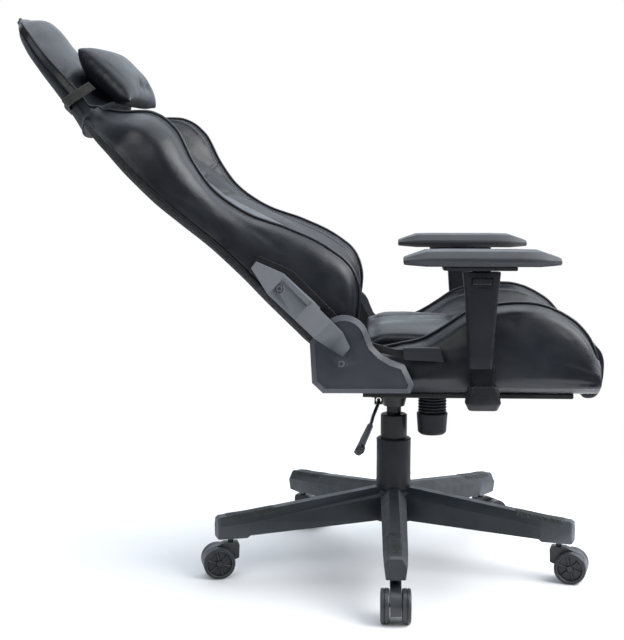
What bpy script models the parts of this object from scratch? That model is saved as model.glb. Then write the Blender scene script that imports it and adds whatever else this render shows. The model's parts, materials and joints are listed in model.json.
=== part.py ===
"""Reclining gaming chair on a five-star base, as separate parts on their joints.

Metres, +Z up, floor at Z = 0. The chair faces +X and its right side is at -Y. Every distance is measured
from the gas column's axis, the floor and the middle plane, unless a function says otherwise. The backrest
stands in its reclined position, and its shapes are drawn upright in the frame of the recline axis.
"""

import math

import bmesh
import bpy
from mathutils import Matrix, Vector

# --- driving dimensions -------------------------------------------------------------------------------
COLUMN_X = 0.1548           # the column stands this far forward of the middle of the chair's outline
COLUMN_Y = 0.0338           # and this far to the left, because the front leg's caster reaches further
GAP = 0.0003                # clearance between parts that are fastened face to face
RUNNING_GAP = 0.0005        # clearance between parts that slide or turn

LEG_COUNT = 5
LEG_REACH = 0.352           # column to the tip of a leg
STEM_CIRCLE = 0.325         # column to a caster's stem
WHEEL_RADIUS = 0.030
WHEEL_SIDES = 24
WHEEL_WIDTH = 0.016
WHEEL_OFFSET = 0.0185       # caster's middle plane to a wheel's middle plane
CASTER_TRAIL = 0.024        # stem axis to wheel axle
STEM_RADIUS = 0.0055
AXLE_RADIUS = 0.003
CASTER_HEADINGS = (-90, -15, 30, -20, 194)   # degrees, the way each caster trails

HUB_TOP = 0.149
HUB_BOTTOM = 0.088
CYLINDER_RADIUS = 0.0255
CYLINDER_TOP = 0.296
SLEEVE_RADIUS = 0.0335
PISTON_RADIUS = 0.014
SOCKET_BOTTOM = 0.312

TILT_AXIS = Vector((-0.030, 0.0, 0.345))
KNOB_X = 0.074
RECLINE_AXIS = Vector((-0.092, 0.0, 0.473))
RECLINE_ANGLE = 45          # degrees that the backrest leans back from upright

BOARD_BOTTOM = 0.362
BOARD_TOP = 0.372
SEAT_SIDE = 0.2345          # middle plane to the outer face of the seat and of the lower backrest
CUSHION_SIDE = 0.133        # middle plane to the side of the middle cushion
SOFT_GAP = 0.0015           # clearance between neighbouring soft parts

STEEL = 0.004               # thickness of the recliner's steel plates
ARM_INNER = SEAT_SIDE + 0.002               # inner face of the backrest's steel arm
PLATE_INNER = ARM_INNER + STEEL + 0.0015    # inner face of the seat's recliner plate
LEVER_INNER = PLATE_INNER + STEEL + 0.0015  # inner face of the recline lever
COVER_INNER = LEVER_INNER + STEEL + 0.0015  # inner face of the plastic side cover
COVER_DEPTH = 0.013
TONGUE_INNER = COVER_INNER + COVER_DEPTH + 0.0015
TONGUE_DEPTH = 0.015
RIM_WIDTH = 0.0085          # sloping rim of the side cover
RIM_DROP = 0.0065
SCREW_RADIUS = 0.0075       # recess of a cover's screw
SCREW_DEPTH = 0.0012

ARMREST_X = 0.1440
ARMREST_Y = 0.262
SLEEVE_BOTTOM = 0.427
SLEEVE_TOP = 0.593
STEM_LENGTH_X = 0.036
STEM_DEPTH_Y = 0.024
BUTTON_HEIGHT = 0.578       # floor to the middle of the height button
BUTTON_TRAVEL = 0.0025
PAD_PLATE_REAR = -0.0665    # the plate under a pad, from the middle of the armrest
PAD_PLATE_FRONT = 0.0595
PAD_PLATE_SIDE = 0.032
PAD_PLATE_BOTTOM = 0.5975
PAD_PLATE_TOP = 0.6035
PAD_LENGTH = 0.267
PAD_WIDTH = 0.089
PAD_BOTTOM = 0.604
PAD_TOP = 0.631

SIDES = ((-1, "right"), (1, "left"))


# --- scene and objects --------------------------------------------------------------------------------
def clear_scene():
    for old in list(bpy.data.objects):
        bpy.data.objects.remove(old, do_unlink=True)


def make_collection(name):
    collection = bpy.data.collections.new(name)
    bpy.context.scene.collection.children.link(collection)
    return collection


clear_scene()
PARTS = make_collection("gaming_chair")
CUTTERS = make_collection("cutters")


def plain_material(name, colour, roughness, metallic=0.0):
    material = bpy.data.materials.new(name)
    material.use_nodes = True
    shader = material.node_tree.nodes["Principled BSDF"]
    shader.inputs["Base Color"].default_value = (*colour, 1.0)
    shader.inputs["Roughness"].default_value = roughness
    shader.inputs["Metallic"].default_value = metallic
    return material


def paint(obj, colour, roughness, metallic=0.0):
    obj.data.materials.clear()
    obj.data.materials.append(plain_material(obj.name, colour, roughness, metallic))
    return obj


def leather(obj):
    return paint(obj, (0.016, 0.018, 0.022), 0.45)


def dark_plastic(obj):
    return paint(obj, (0.020, 0.022, 0.026), 0.45)


def grey_plastic(obj):
    return paint(obj, (0.045, 0.048, 0.058), 0.5)


def black_steel(obj):
    return paint(obj, (0.012, 0.012, 0.014), 0.35, 0.6)


def make_empty(name, location, parent=None, rotation=(0.0, 0.0, 0.0)):
    empty = bpy.data.objects.new(name, None)
    PARTS.objects.link(empty)
    empty.location = location
    empty.rotation_euler = rotation
    empty.parent = parent
    return empty


def mesh_object(name, mesh, parent, location=(0.0, 0.0, 0.0), rotation=(0.0, 0.0, 0.0)):
    obj = bpy.data.objects.new(name, mesh)
    PARTS.objects.link(obj)
    obj.location = location
    obj.rotation_euler = rotation
    obj.parent = parent
    return obj


def hide_as_tool(obj):
    """Keep an object as another object's Boolean operand only."""
    PARTS.objects.unlink(obj)
    CUTTERS.objects.link(obj)
    obj.hide_render = True
    obj.display_type = "WIRE"


def boolean(obj, tool, operation):
    hide_as_tool(tool)
    modifier = obj.modifiers.new(operation.lower(), "BOOLEAN")
    modifier.object = tool
    modifier.operation = operation


def cut(obj, tool):
    boolean(obj, tool, "DIFFERENCE")


def join(obj, tool):
    boolean(obj, tool, "UNION")


def bevel(obj, width, segments=2, angle=30):
    modifier = obj.modifiers.new("bevel", "BEVEL")
    modifier.width = width
    modifier.segments = segments
    modifier.limit_method = "ANGLE"
    modifier.angle_limit = math.radians(angle)


def smooth(mesh, angle=40):
    mesh.shade_smooth()
    mesh.set_sharp_from_angle(angle=math.radians(angle))


# --- shapes -------------------------------------------------------------------------------------------
def box(name, size, centre, parent):
    work = bmesh.new()
    bmesh.ops.create_cube(work, size=1.0)
    bmesh.ops.scale(work, vec=size, verts=work.verts)
    mesh = bpy.data.meshes.new(name)
    work.to_mesh(mesh)
    work.free()
    return mesh_object(name, mesh, parent, centre)


def cylinder(name, radius, depth, centre, parent, axis="Z", sides=24, top_radius=None):
    work = bmesh.new()
    bmesh.ops.create_cone(work, cap_ends=True, segments=sides, radius1=radius,
                          radius2=radius if top_radius is None else top_radius, depth=depth)
    if axis == "Y":
        bmesh.ops.rotate(work, verts=work.verts, matrix=Matrix.Rotation(math.pi / 2, 3, "X"))
    mesh = bpy.data.meshes.new(name)
    work.to_mesh(mesh)
    work.free()
    smooth(mesh)
    return mesh_object(name, mesh, parent, centre)


def turned(name, profile, parent, location=(0.0, 0.0, 0.0), sides=32, closed=False, rotation=(0.0, 0.0, 0.0)):
    """A solid of revolution about local Z, from (radius, height) points that run down the outer side."""
    mesh = bpy.data.meshes.new(name)
    count = len(profile)
    edges = [(i, i + 1) for i in range(count - 1)]
    if closed:
        edges.append((count - 1, 0))
    mesh.from_pydata([(radius, 0.0, height) for radius, height in profile], edges, [])
    obj = mesh_object(name, mesh, parent, location, rotation)
    screw = obj.modifiers.new("turn", "SCREW")
    screw.steps = sides
    screw.render_steps = sides
    screw.use_merge_vertices = True
    screw.merge_threshold = 0.00001
    screw.use_smooth_shade = False
    return obj


def rounded(corners, radius, steps=3):
    """A closed outline with every corner turned into an arc of about the given radius."""
    outline = []
    count = len(corners)
    for i, corner in enumerate(corners):
        here = Vector(corner)
        before = Vector(corners[i - 1]) - here
        after = Vector(corners[(i + 1) % count]) - here
        reach = min(radius, 0.45 * before.length, 0.45 * after.length)
        start = here + before.normalized() * reach
        end = here + after.normalized() * reach
        for step in range(steps + 1):
            t = step / steps
            outline.append((1 - t) ** 2 * start + 2 * t * (1 - t) * here + t ** 2 * end)
    return outline


def arc(centre, radius, start, end, steps):
    """Points on a circle from one angle to another, in degrees."""
    points = []
    for step in range(steps + 1):
        angle = math.radians(start + (end - start) * step / steps)
        points.append((centre[0] + radius * math.cos(angle), centre[1] + radius * math.sin(angle)))
    return points


def plate(name, outline, depth, centre_y, parent, origin=(0.0, 0.0)):
    """A flat outline drawn in X and Z, extruded along Y about a middle plane."""
    curve = bpy.data.curves.new(name, "CURVE")
    curve.dimensions = "2D"
    curve.fill_mode = "BOTH"
    curve.extrude = depth / 2
    spline = curve.splines.new("POLY")
    spline.points.add(len(outline) - 1)
    for point, (x, z) in zip(spline.points, outline):
        point.co = (x - origin[0], z - origin[1], 0.0, 1.0)
    spline.use_cyclic_u = True
    return curve_to_mesh(name, curve, parent, (origin[0], centre_y, origin[1]), (math.pi / 2, 0.0, 0.0))


def curve_to_mesh(name, curve, parent, location, rotation=(0.0, 0.0, 0.0)):
    """A closed mesh object from a curve with loose caps."""
    guide = bpy.data.objects.new(name + "_curve", curve)
    PARTS.objects.link(guide)
    evaluated = guide.evaluated_get(bpy.context.evaluated_depsgraph_get())
    mesh = bpy.data.meshes.new_from_object(evaluated)
    bpy.data.objects.remove(guide, do_unlink=True)
    mesh.name = name
    work = bmesh.new()
    work.from_mesh(mesh)
    bmesh.ops.remove_doubles(work, verts=work.verts, dist=0.00002)
    bmesh.ops.recalc_face_normals(work, faces=work.faces)
    work.to_mesh(mesh)
    work.free()
    return mesh_object(name, mesh, parent, location, rotation)


def rod(name, points, radius, parent):
    """A round bar along straight runs between points."""
    curve = bpy.data.curves.new(name, "CURVE")
    curve.dimensions = "3D"
    curve.bevel_depth = radius
    curve.bevel_resolution = 2
    curve.use_fill_caps = True
    spline = curve.splines.new("POLY")
    spline.points.add(len(points) - 1)
    for point, co in zip(spline.points, points):
        point.co = (*co, 1.0)
    return curve_to_mesh(name, curve, parent, (0.0, 0.0, 0.0))


def inset(outline, distance):
    """A closed outline drawn counterclockwise, moved inward by a distance."""
    moved = []
    count = len(outline)
    for i, corner in enumerate(outline):
        here = Vector(corner)
        arriving = (here - Vector(outline[i - 1])).normalized()
        leaving = (Vector(outline[(i + 1) % count]) - here).normalized()
        middle = (arriving + leaving).normalized()
        inward = Vector((-middle.y, middle.x))
        spread = max(0.5, inward.dot(Vector((-leaving.y, leaving.x))))
        moved.append(here + inward * distance / spread)
    return moved


def loft(name, rings, parent, location=(0.0, 0.0, 0.0)):
    """A closed solid through sections with the same number of points."""
    work = bmesh.new()
    loops = [[work.verts.new(point) for point in ring] for ring in rings]
    for first, second in zip(loops, loops[1:]):
        for i in range(len(first)):
            j = (i + 1) % len(first)
            work.faces.new((first[i], first[j], second[j], second[i]))
    work.faces.new(loops[0])
    work.faces.new(loops[-1])
    bmesh.ops.recalc_face_normals(work, faces=work.faces)
    mesh = bpy.data.meshes.new(name)
    work.to_mesh(mesh)
    work.free()
    return mesh_object(name, mesh, parent, location)


# --- star base and casters ----------------------------------------------------------------------------
def leg_section(reach, top, bottom, shoulder, flat):
    """One cross-section of a leg: a flat top, sloping shoulders and an undercut bottom."""
    edge = top - 0.016
    return [(reach, -flat, top), (reach, flat, top), (reach, shoulder, edge),
            (reach, shoulder - 0.003, bottom), (reach, -shoulder + 0.003, bottom), (reach, -shoulder, edge)]


def star_base(chair):
    hub = turned("star_base", [(0.0, HUB_TOP), (0.036, HUB_TOP), (0.040, HUB_TOP - 0.004), (0.041, 0.092),
                               (0.038, HUB_BOTTOM), (0.0, HUB_BOTTOM)], chair, sides=30)
    for index in range(LEG_COUNT):
        heading = math.radians(-90 + index * 360 / LEG_COUNT)
        leg = loft(f"leg_{index + 1}", [
            leg_section(0.022, 0.1560, 0.092, 0.0250, 0.009),
            leg_section(0.290, 0.1215, 0.0795, 0.0220, 0.010),
            leg_section(0.296, 0.1208, 0.0750, 0.0220, 0.010),
            leg_section(LEG_REACH - 0.005, 0.1160, 0.0750, 0.0205, 0.011),
            leg_section(LEG_REACH, 0.1120, 0.0755, 0.0190, 0.011)], chair)
        leg.rotation_euler = (0.0, 0.0, heading)
        join(hub, leg)
    cut(hub, cylinder("cylinder_hole", CYLINDER_RADIUS + GAP, 0.2, (0.0, 0.0, 0.12), chair, sides=32))
    cut(hub, cylinder("sleeve_seat", SLEEVE_RADIUS + GAP, 0.04, (0.0, 0.0, HUB_TOP + 0.02), chair, sides=32))
    for index in range(LEG_COUNT):
        heading = math.radians(-90 + index * 360 / LEG_COUNT)
        place = (STEM_CIRCLE * math.cos(heading), STEM_CIRCLE * math.sin(heading), 0.085)
        cut(hub, cylinder(f"stem_hole_{index + 1}", STEM_RADIUS + GAP, 0.048, place, chair, sides=12))
    return dark_plastic(hub)


def caster(index, chair):
    heading = math.radians(-90 + index * 360 / LEG_COUNT)
    place = (STEM_CIRCLE * math.cos(heading), STEM_CIRCLE * math.sin(heading), 0.0)
    swivel = make_empty(f"caster_swivel_{index + 1}", place, chair,
                        (0.0, 0.0, math.radians(CASTER_HEADINGS[index])))
    number = index + 1
    axle = (CASTER_TRAIL, WHEEL_RADIUS)
    half = WHEEL_WIDTH / 2
    web = [(-0.014, 0.066), (0.012, 0.066)] + arc(axle, 0.0300, 80, -20, 8) + arc(axle, 0.010, -40, -140, 3)
    web += [(-0.015, 0.036), (-0.016, 0.060)]
    hood = plate(f"caster_hood_{number}", web, 2 * (WHEEL_OFFSET - half - 0.0008), 0.0, swivel)
    join(hood, cylinder(f"stem_{number}", STEM_RADIUS, 0.050, (0.0, 0.0, 0.082), swivel, sides=12))
    axle_centre = (CASTER_TRAIL, 0.0, WHEEL_RADIUS)
    join(hood, cylinder(f"axle_{number}", AXLE_RADIUS, 2 * WHEEL_OFFSET + 0.010, axle_centre, swivel, "Y", 12))
    dark_plastic(hood)
    corner = WHEEL_RADIUS / math.cos(math.pi / WHEEL_SIDES)
    bore = AXLE_RADIUS + RUNNING_GAP
    profile = [(bore, half), (corner - 0.003, half), (corner, half - 0.003), (corner, -half + 0.003),
               (corner - 0.003, -half), (bore, -half)]
    facet_down = Matrix.Rotation(math.pi / WHEEL_SIDES, 3, "Y") @ Matrix.Rotation(math.pi / 2, 3, "X")
    for side, mark in SIDES:
        dark_plastic(turned(f"caster_wheel_{number}_{mark}", profile, swivel,
                            (CASTER_TRAIL, side * WHEEL_OFFSET, WHEEL_RADIUS), WHEEL_SIDES, True,
                            facet_down.to_euler()))


# --- gas column ---------------------------------------------------------------------------------------
def gas_column(chair, lift):
    bore = PISTON_RADIUS + RUNNING_GAP
    bottom = HUB_BOTTOM + 0.012
    tube = turned("gas_cylinder", [
        (0.0, bottom), (bore, bottom), (bore, CYLINDER_TOP), (CYLINDER_RADIUS - 0.002, CYLINDER_TOP),
        (CYLINDER_RADIUS, CYLINDER_TOP - 0.002), (CYLINDER_RADIUS, HUB_BOTTOM + 0.004),
        (CYLINDER_RADIUS - 0.003, HUB_BOTTOM + 0.001), (0.0, HUB_BOTTOM + 0.001)], chair)
    black_steel(tube)
    inner = CYLINDER_RADIUS + RUNNING_GAP
    sleeve = turned("column_sleeve", [
        (inner, 0.249), (SLEEVE_RADIUS - 0.002, 0.249), (SLEEVE_RADIUS, 0.247), (SLEEVE_RADIUS, HUB_TOP + 0.001),
        (SLEEVE_RADIUS - 0.001, HUB_TOP + GAP), (inner, HUB_TOP + GAP)], chair, closed=True)
    dark_plastic(sleeve)
    piston = turned("gas_piston", [
        (0.0, 0.330), (PISTON_RADIUS - 0.001, 0.330), (PISTON_RADIUS, 0.329), (PISTON_RADIUS, 0.181),
        (PISTON_RADIUS - 0.001, 0.180), (0.0, 0.180)], lift, sides=24)
    black_steel(piston)


# --- mechanism ----------------------------------------------------------------------------------------
def mechanism_housing(swivel):
    tray = box("mechanism_housing", (0.150, 0.096, 0.014), (0.033, 0.0, 0.343), swivel)
    boss = cylinder("boss", 0.0205, 0.030, (0.0, 0.0, SOCKET_BOTTOM + 0.015), swivel, sides=32, top_radius=0.028)
    join(tray, boss)
    join(tray, cylinder("tilt_axle", 0.004, 0.118, TILT_AXIS, swivel, "Y", 16))
    join(tray, box("lever_lug", (0.016, 0.010, 0.018), (-0.030, -0.043, 0.331), swivel))
    socket_top = 0.331
    cut(tray, cylinder("piston_socket", PISTON_RADIUS + GAP, 0.060, (0.0, 0.0, socket_top - 0.030), swivel))
    cut(tray, cylinder("lever_hole", 0.0056, 0.030, (-0.030, -0.048, 0.330), swivel, "Y", 16))
    black_steel(tray)


def tension_barrel(swivel):
    """A ribbed barrel that holds the tilt spring, with a blind bore for the knob's screw."""
    top, bottom, ribs = 0.3355, 0.3005, 6
    pitch = (top - bottom) / ribs
    profile = [(0.0, top), (0.024, top)]
    for rib in range(ribs):
        height = top - rib * pitch
        profile += [(0.0275, height - 0.25 * pitch), (0.0275, height - 0.6 * pitch), (0.0250, height - pitch)]
    profile += [(0.0065, bottom), (0.0065, bottom + 0.024), (0.0, bottom + 0.024)]
    dark_plastic(turned("tension_barrel", profile, swivel, (KNOB_X, 0.0, 0.0), 24))


def tension_knob(swivel):
    screw_top = 0.318
    top, bottom = 0.2995, 0.2575
    profile = [(0.0, screw_top), (0.006, screw_top), (0.006, top), (0.0285, top), (0.0300, top - 0.002),
               (0.0275, bottom + 0.004), (0.0235, bottom), (0.0, bottom)]
    dark_plastic(turned("tension_knob", profile, swivel, (KNOB_X, 0.0, 0.0), 28))


def gas_lever(swivel):
    """A bent steel rod that droops out to the right, with a plastic grip."""
    axis = Vector((-0.030, -0.040, 0.330))
    hinge = make_empty("gas_lever_axis", axis, swivel)
    path = [(0.0, 0.0, 0.0), (0.0, -0.022, 0.0), (-0.002, -0.034, -0.005), (-0.010, -0.060, -0.020),
            (-0.0145, -0.085, -0.0315)]
    black_steel(rod("gas_lever_rod", path, 0.0035, hinge))
    start, end = Vector(path[-1]), Vector((-0.0365, -0.145, -0.0695))
    direction = (end - start).normalized()
    handle = cylinder("gas_lever_grip", 0.0055, (end - start).length, (start + end) / 2 + direction * 0.003, hinge,
                      sides=16, top_radius=0.0075)
    handle.rotation_euler = direction.to_track_quat("Z", "Y").to_euler()
    grey_plastic(handle)


# --- seat ---------------------------------------------------------------------------------------------
def from_tilt_axis(x, y, z):
    return Vector((x, y, z)) - TILT_AXIS


def seat_plate(seat):
    plate_top = BOARD_BOTTOM - GAP
    steel = box("seat_plate", (0.225, 0.180, STEEL), from_tilt_axis(0.022, 0.0, plate_top - STEEL / 2), seat)
    for side, mark in SIDES:
        flange = box(f"flange_{mark}", (0.070, 0.004, 0.024),
                     from_tilt_axis(-0.025, side * 0.0535, plate_top - 0.0125), seat)
        join(steel, flange)
    cut(steel, cylinder("axle_hole", 0.0045, 0.140, (0.0, 0.0, 0.0), seat, "Y", 16))
    black_steel(steel)


def seat_board(seat):
    board = box("seat_board", (0.360, 0.400, BOARD_TOP - BOARD_BOTTOM),
                from_tilt_axis(0.135, 0.0, (BOARD_TOP + BOARD_BOTTOM) / 2), seat)
    bevel(board, 0.002, 1)
    black_steel(board)


# distance forward, top of the middle cushion
CUSHION_TOPS = ((-0.050, 0.466), (-0.030, 0.476), (0.010, 0.4785), (0.070, 0.475), (0.180, 0.470),
                (0.280, 0.468), (0.320, 0.464), (0.336, 0.456))
# distance forward, height of the bolster's piped crest
BOLSTER_CRESTS = ((-0.044, 0.450), (-0.020, 0.456), (0.007, 0.462), (0.044, 0.471), (0.086, 0.494),
                  (0.123, 0.518), (0.170, 0.531), (0.218, 0.536), (0.252, 0.533), (0.296, 0.515),
                  (0.330, 0.487), (0.346, 0.462), (0.355, 0.435))


def seat_cushion(seat):
    rings = []
    for x, top in CUSHION_TOPS:
        side = CUSHION_SIDE
        bottom = BOARD_TOP + SOFT_GAP
        rings.append([from_tilt_axis(x, y, z) for y, z in (
            (-side, bottom), (side, bottom), (side, top - 0.012), (side - 0.012, top - 0.002), (0.0, top),
            (-side + 0.012, top - 0.002), (-side, top - 0.012))])
    leather(loft("seat_cushion", rings, seat))


def seat_bolster(side, mark, seat):
    inner = CUSHION_SIDE + SOFT_GAP
    bottom = BOARD_TOP + SOFT_GAP
    rings = []
    for x, crest in BOLSTER_CRESTS:
        inner_top = min(0.468, crest - 0.006)
        outline = ((inner, bottom), (SEAT_SIDE - 0.030, bottom), (SEAT_SIDE, bottom + 0.016),
                   (SEAT_SIDE, crest - 0.045), (SEAT_SIDE - 0.010, crest - 0.014), (SEAT_SIDE - 0.035, crest),
                   (SEAT_SIDE - 0.065, crest - 0.010), (inner, inner_top))
        rings.append([from_tilt_axis(x, side * y, z) for y, z in outline])
    leather(loft(f"seat_bolster_{mark}", rings, seat))


def front_roll(seat):
    """The rounded front edge of the seat, bowed forward in the middle."""
    outline = rounded([(0.0, 0.455), (0.030, 0.453), (0.047, 0.438), (0.053, 0.420), (0.052, 0.390),
                       (0.046, 0.366), (0.032, 0.352), (0.0, 0.352)], 0.010, 2)
    rings = []
    for share in (-1.0, -0.6, 0.0, 0.6, 1.0):
        bow = 1.0 - 0.22 * share ** 2
        rings.append([from_tilt_axis(0.3375 + x * bow, share * CUSHION_SIDE, z) for x, z in outline])
    leather(loft("seat_front_roll", rings, seat))


# --- recliner -----------------------------------------------------------------------------------------
def side_cover_outline():
    """Counterclockwise from the crown's front end."""
    x, z = RECLINE_AXIS.x, RECLINE_AXIS.z
    crown = arc((x, z), 0.0440, 14, 128, 10)
    back = [(-0.151, 0.470), (-0.147, 0.398), (-0.128, 0.380)]
    front = [(0.024, 0.381), (0.030, 0.397), (0.014, 0.431), (-0.009, 0.439), (-0.027, 0.450), (-0.041, 0.464)]
    return crown + back + front


def side_cover(side, mark, seat):
    """A plastic shell with a sloping rim round a slightly sunken panel."""
    outline = side_cover_outline()
    outer = COVER_INNER + COVER_DEPTH
    rings = []
    for points, y in ((outline, COVER_INNER), (outline, outer - RIM_DROP), (inset(outline, RIM_WIDTH), outer)):
        rings.append([from_tilt_axis(x, side * y, z) for x, z in points])
    cover = loft(f"side_cover_{mark}", rings, seat)
    panel = plate(f"sunken_panel_{mark}", inset(outline, RIM_WIDTH + 0.0012), 0.0024, side * outer, seat)
    panel.location -= TILT_AXIS
    cut(cover, panel)
    screw = cylinder(f"seat_screw_{mark}", SCREW_RADIUS, 2 * SCREW_DEPTH,
                     from_tilt_axis(-0.096, side * (outer - SCREW_DEPTH), 0.433), seat, "Y", 20)
    cut(cover, screw)
    grey_plastic(cover)


def recliner_plate(side, mark, seat):
    """The seat's half of the hinge: a steel plate with the pivot boss."""
    x, z = RECLINE_AXIS.x, RECLINE_AXIS.z
    outline = arc((x, z), 0.030, 150, 20, 8) + [(-0.045, 0.448), (0.010, 0.420), (0.014, 0.396), (-0.124, 0.396)]
    steel = plate(f"recliner_plate_{mark}", outline, STEEL, side * (PLATE_INNER + STEEL / 2), seat)
    steel.location -= TILT_AXIS
    boss_from, boss_to = ARM_INNER, LEVER_INNER + STEEL
    boss = cylinder(f"pivot_boss_{mark}", 0.008, boss_to - boss_from,
                    from_tilt_axis(x, side * (boss_from + boss_to) / 2, z), seat, "Y", 20)
    join(steel, boss)
    black_steel(steel)


def recline_lever(lever_axis):
    """Lever arm on the right, drawn from the recline axis, and its plastic grip."""
    arm_outline = arc((0.0, 0.0), 0.015, 200, 20, 8) + [(0.090, -0.016), (0.146, -0.016), (0.146, -0.028),
                                                        (0.090, -0.028)]
    arm_plate = plate("recline_lever", arm_outline, STEEL, -(LEVER_INNER + STEEL / 2), lever_axis)
    hub = -(LEVER_INNER + STEEL / 2)
    cut(arm_plate, cylinder("lever_bore", 0.0085, 0.02, (0.0, hub, 0.0), lever_axis, "Y", 20))
    black_steel(arm_plate)
    grip_outline = rounded([(0.103, -0.012), (0.166, -0.012), (0.174, -0.036), (0.104, -0.033)], 0.003, 2)
    grip = plate("recline_lever_grip", grip_outline, 0.016, -(LEVER_INNER + 0.006), lever_axis)
    slot = box("grip_slot", (0.090, STEEL + 2 * GAP, 0.0126), (0.1015, hub, -0.022), lever_axis)
    cut(grip, slot)
    grey_plastic(grip)


# --- backrest, drawn upright: X forward, Z up from the recline axis --------------------------------------
def back_arm(side, mark, back):
    outline = arc((0.0, 0.0), 0.016, 360, 180, 8) + [(-0.030, 0.040), (-0.030, 0.204), (-0.002, 0.208),
                                                     (0.021, 0.148), (0.021, 0.045)]
    middle = side * (ARM_INNER + STEEL / 2)
    steel = plate(f"back_arm_{mark}", outline, STEEL, middle, back)
    cut(steel, cylinder(f"arm_bore_{mark}", 0.0085, 0.02, (0.0, middle, 0.0), back, "Y", 20))
    black_steel(steel)


# height up the back and distance out of the cover's face: tongue, slope, main panel and tapered tip
COVER_FACE = ((0.040, TONGUE_INNER + TONGUE_DEPTH), (0.086, 0.2665), (0.150, 0.2665), (0.206, 0.2500))


def bracket_cover(side, mark, back):
    """Plastic cover of the steel arm; its lower tongue passes outside the seat's side cover."""
    outline = [(-0.012, 0.204), (-0.026, 0.202), (-0.036, 0.150), (-0.034, 0.084), (-0.031, 0.040),
               (-0.024, 0.006), (-0.018, -0.017), (0.001, -0.015), (0.010, 0.012), (0.010, 0.086), (0.007, 0.155)]
    inner = ARM_INNER + STEEL + 0.001
    outer = TONGUE_INNER + TONGUE_DEPTH
    cover = plate(f"bracket_cover_{mark}", outline, outer - inner, side * (inner + outer) / 2, back)
    clearance = box(f"tongue_clearance_{mark}", (0.080, 2 * (TONGUE_INNER - inner), 0.100),
                    (-0.015, side * inner, 0.068 - 0.050), back)
    cut(cover, clearance)
    beyond = outer + 0.010
    face = list(COVER_FACE) + [(COVER_FACE[-1][0], beyond), (COVER_FACE[0][0], beyond)]
    cut(cover, loft(f"cover_face_{mark}", [[(x, side * y, height) for height, y in face] for x in (-0.060, 0.040)],
                    back))
    face_y = COVER_FACE[1][1]
    strip = [(0.0095, 0.088), (0.0075, 0.150), (0.0, 0.150), (0.0, 0.088)]
    join(cover, plate(f"raised_strip_{mark}", strip, 0.007, side * (face_y - 0.0005), back))
    cut(cover, cylinder(f"arm_screw_{mark}", SCREW_RADIUS, 2 * SCREW_DEPTH, (-0.0148, side * face_y, 0.1425), back,
                        "Y", 20))
    bevel(cover, 0.0008, 1)
    grey_plastic(cover)


# height up the back, outer half width, crest half width, rear face, crest, front of the middle panel
BACK_STATIONS = (
    (-0.016, 0.2220, 0.200, -0.024, 0.006, -0.004),
    (0.004, 0.2300, 0.208, -0.038, 0.038, 0.016),
    (0.030, 0.2345, 0.212, -0.046, 0.071, 0.034),
    (0.075, 0.2345, 0.214, -0.048, 0.096, 0.052),
    (0.125, 0.2345, 0.214, -0.048, 0.094, 0.058),
    (0.200, 0.2345, 0.212, -0.048, 0.069, 0.044),
    (0.270, 0.2360, 0.210, -0.050, 0.036, 0.018),
    (0.345, 0.2430, 0.208, -0.057, 0.021, -0.004),
    (0.410, 0.2520, 0.206, -0.062, 0.031, -0.012),
    (0.470, 0.2550, 0.202, -0.062, 0.050, -0.014),
    (0.520, 0.2480, 0.196, -0.060, 0.039, -0.016),
    (0.560, 0.2180, 0.180, -0.064, 0.002, -0.020),
    (0.598, 0.1650, 0.150, -0.067, -0.024, -0.026),
)
# height up the back, half width, rear face, front face
HEAD_STATIONS = (
    (0.600, 0.1640, -0.067, -0.025),
    (0.630, 0.1400, -0.066, -0.024),
    (0.680, 0.1320, -0.061, -0.024),
    (0.750, 0.1360, -0.052, -0.020),
    (0.790, 0.1300, -0.045, -0.014),
    (0.812, 0.1120, -0.040, -0.014),
    (0.824, 0.0750, -0.034, -0.022),
)


def back_panel(back):
    rings = []
    for height, _, _, rear, _, front in BACK_STATIONS:
        side = CUSHION_SIDE
        rings.append([(rear, -side, height), (rear, side, height), (front - 0.004, side, height),
                      (front, side - 0.030, height), (front, -side + 0.030, height), (front - 0.004, -side, height)])
    leather(loft("back_panel", rings, back))


def back_wing(side, mark, back):
    inner = CUSHION_SIDE + SOFT_GAP
    rings = []
    for height, outer, crest_y, rear, crest, front in BACK_STATIONS:
        rise = crest - rear
        outline = ((rear, inner), (rear, outer - 0.012), (rear + 0.010, outer), (crest - 0.32 * rise, outer),
                   (crest - 0.10 * rise, outer - 0.4 * (outer - crest_y)), (crest, crest_y),
                   (crest - 0.04 * rise, max(crest_y - 0.026, inner + 0.006)), (front - 0.004, inner))
        rings.append([(x, side * y, height) for x, y in outline])
    leather(loft(f"back_wing_{mark}", rings, back))


def head_part(back):
    rings = []
    for height, side, rear, front in HEAD_STATIONS:
        height += SOFT_GAP
        edge = 0.28 * (front - rear)
        rings.append([(rear, -side + 0.020, height), (rear, side - 0.020, height), (rear + edge, side, height),
                      (front - edge, side, height), (front, side - 0.020, height), (front, -side + 0.020, height),
                      (front - edge, -side, height), (rear + edge, -side, height)])
    leather(loft("back_head", rings, back))


def pillow(back):
    """A cushion strapped to the front of the head part, thickest in the middle."""
    rings = []
    middle_height, half_height, rear = 0.641, 0.064, -0.012
    for share in (-1.0, -0.85, -0.6, -0.3, 0.0, 0.3, 0.6, 0.85, 1.0):
        y = 0.140 * share
        swell = math.sqrt(max(0.0, 1.0 - share ** 2))
        thick = 0.014 + 0.052 * swell
        tall = half_height - 0.004 + 0.004 * swell
        rings.append([(rear + thick * (0.45 + 0.55 * math.cos(turn)), y, middle_height + tall * math.sin(turn))
                      for turn in [math.radians(36 * step) for step in range(10)]])
    leather(loft("head_pillow", rings, back))


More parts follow.
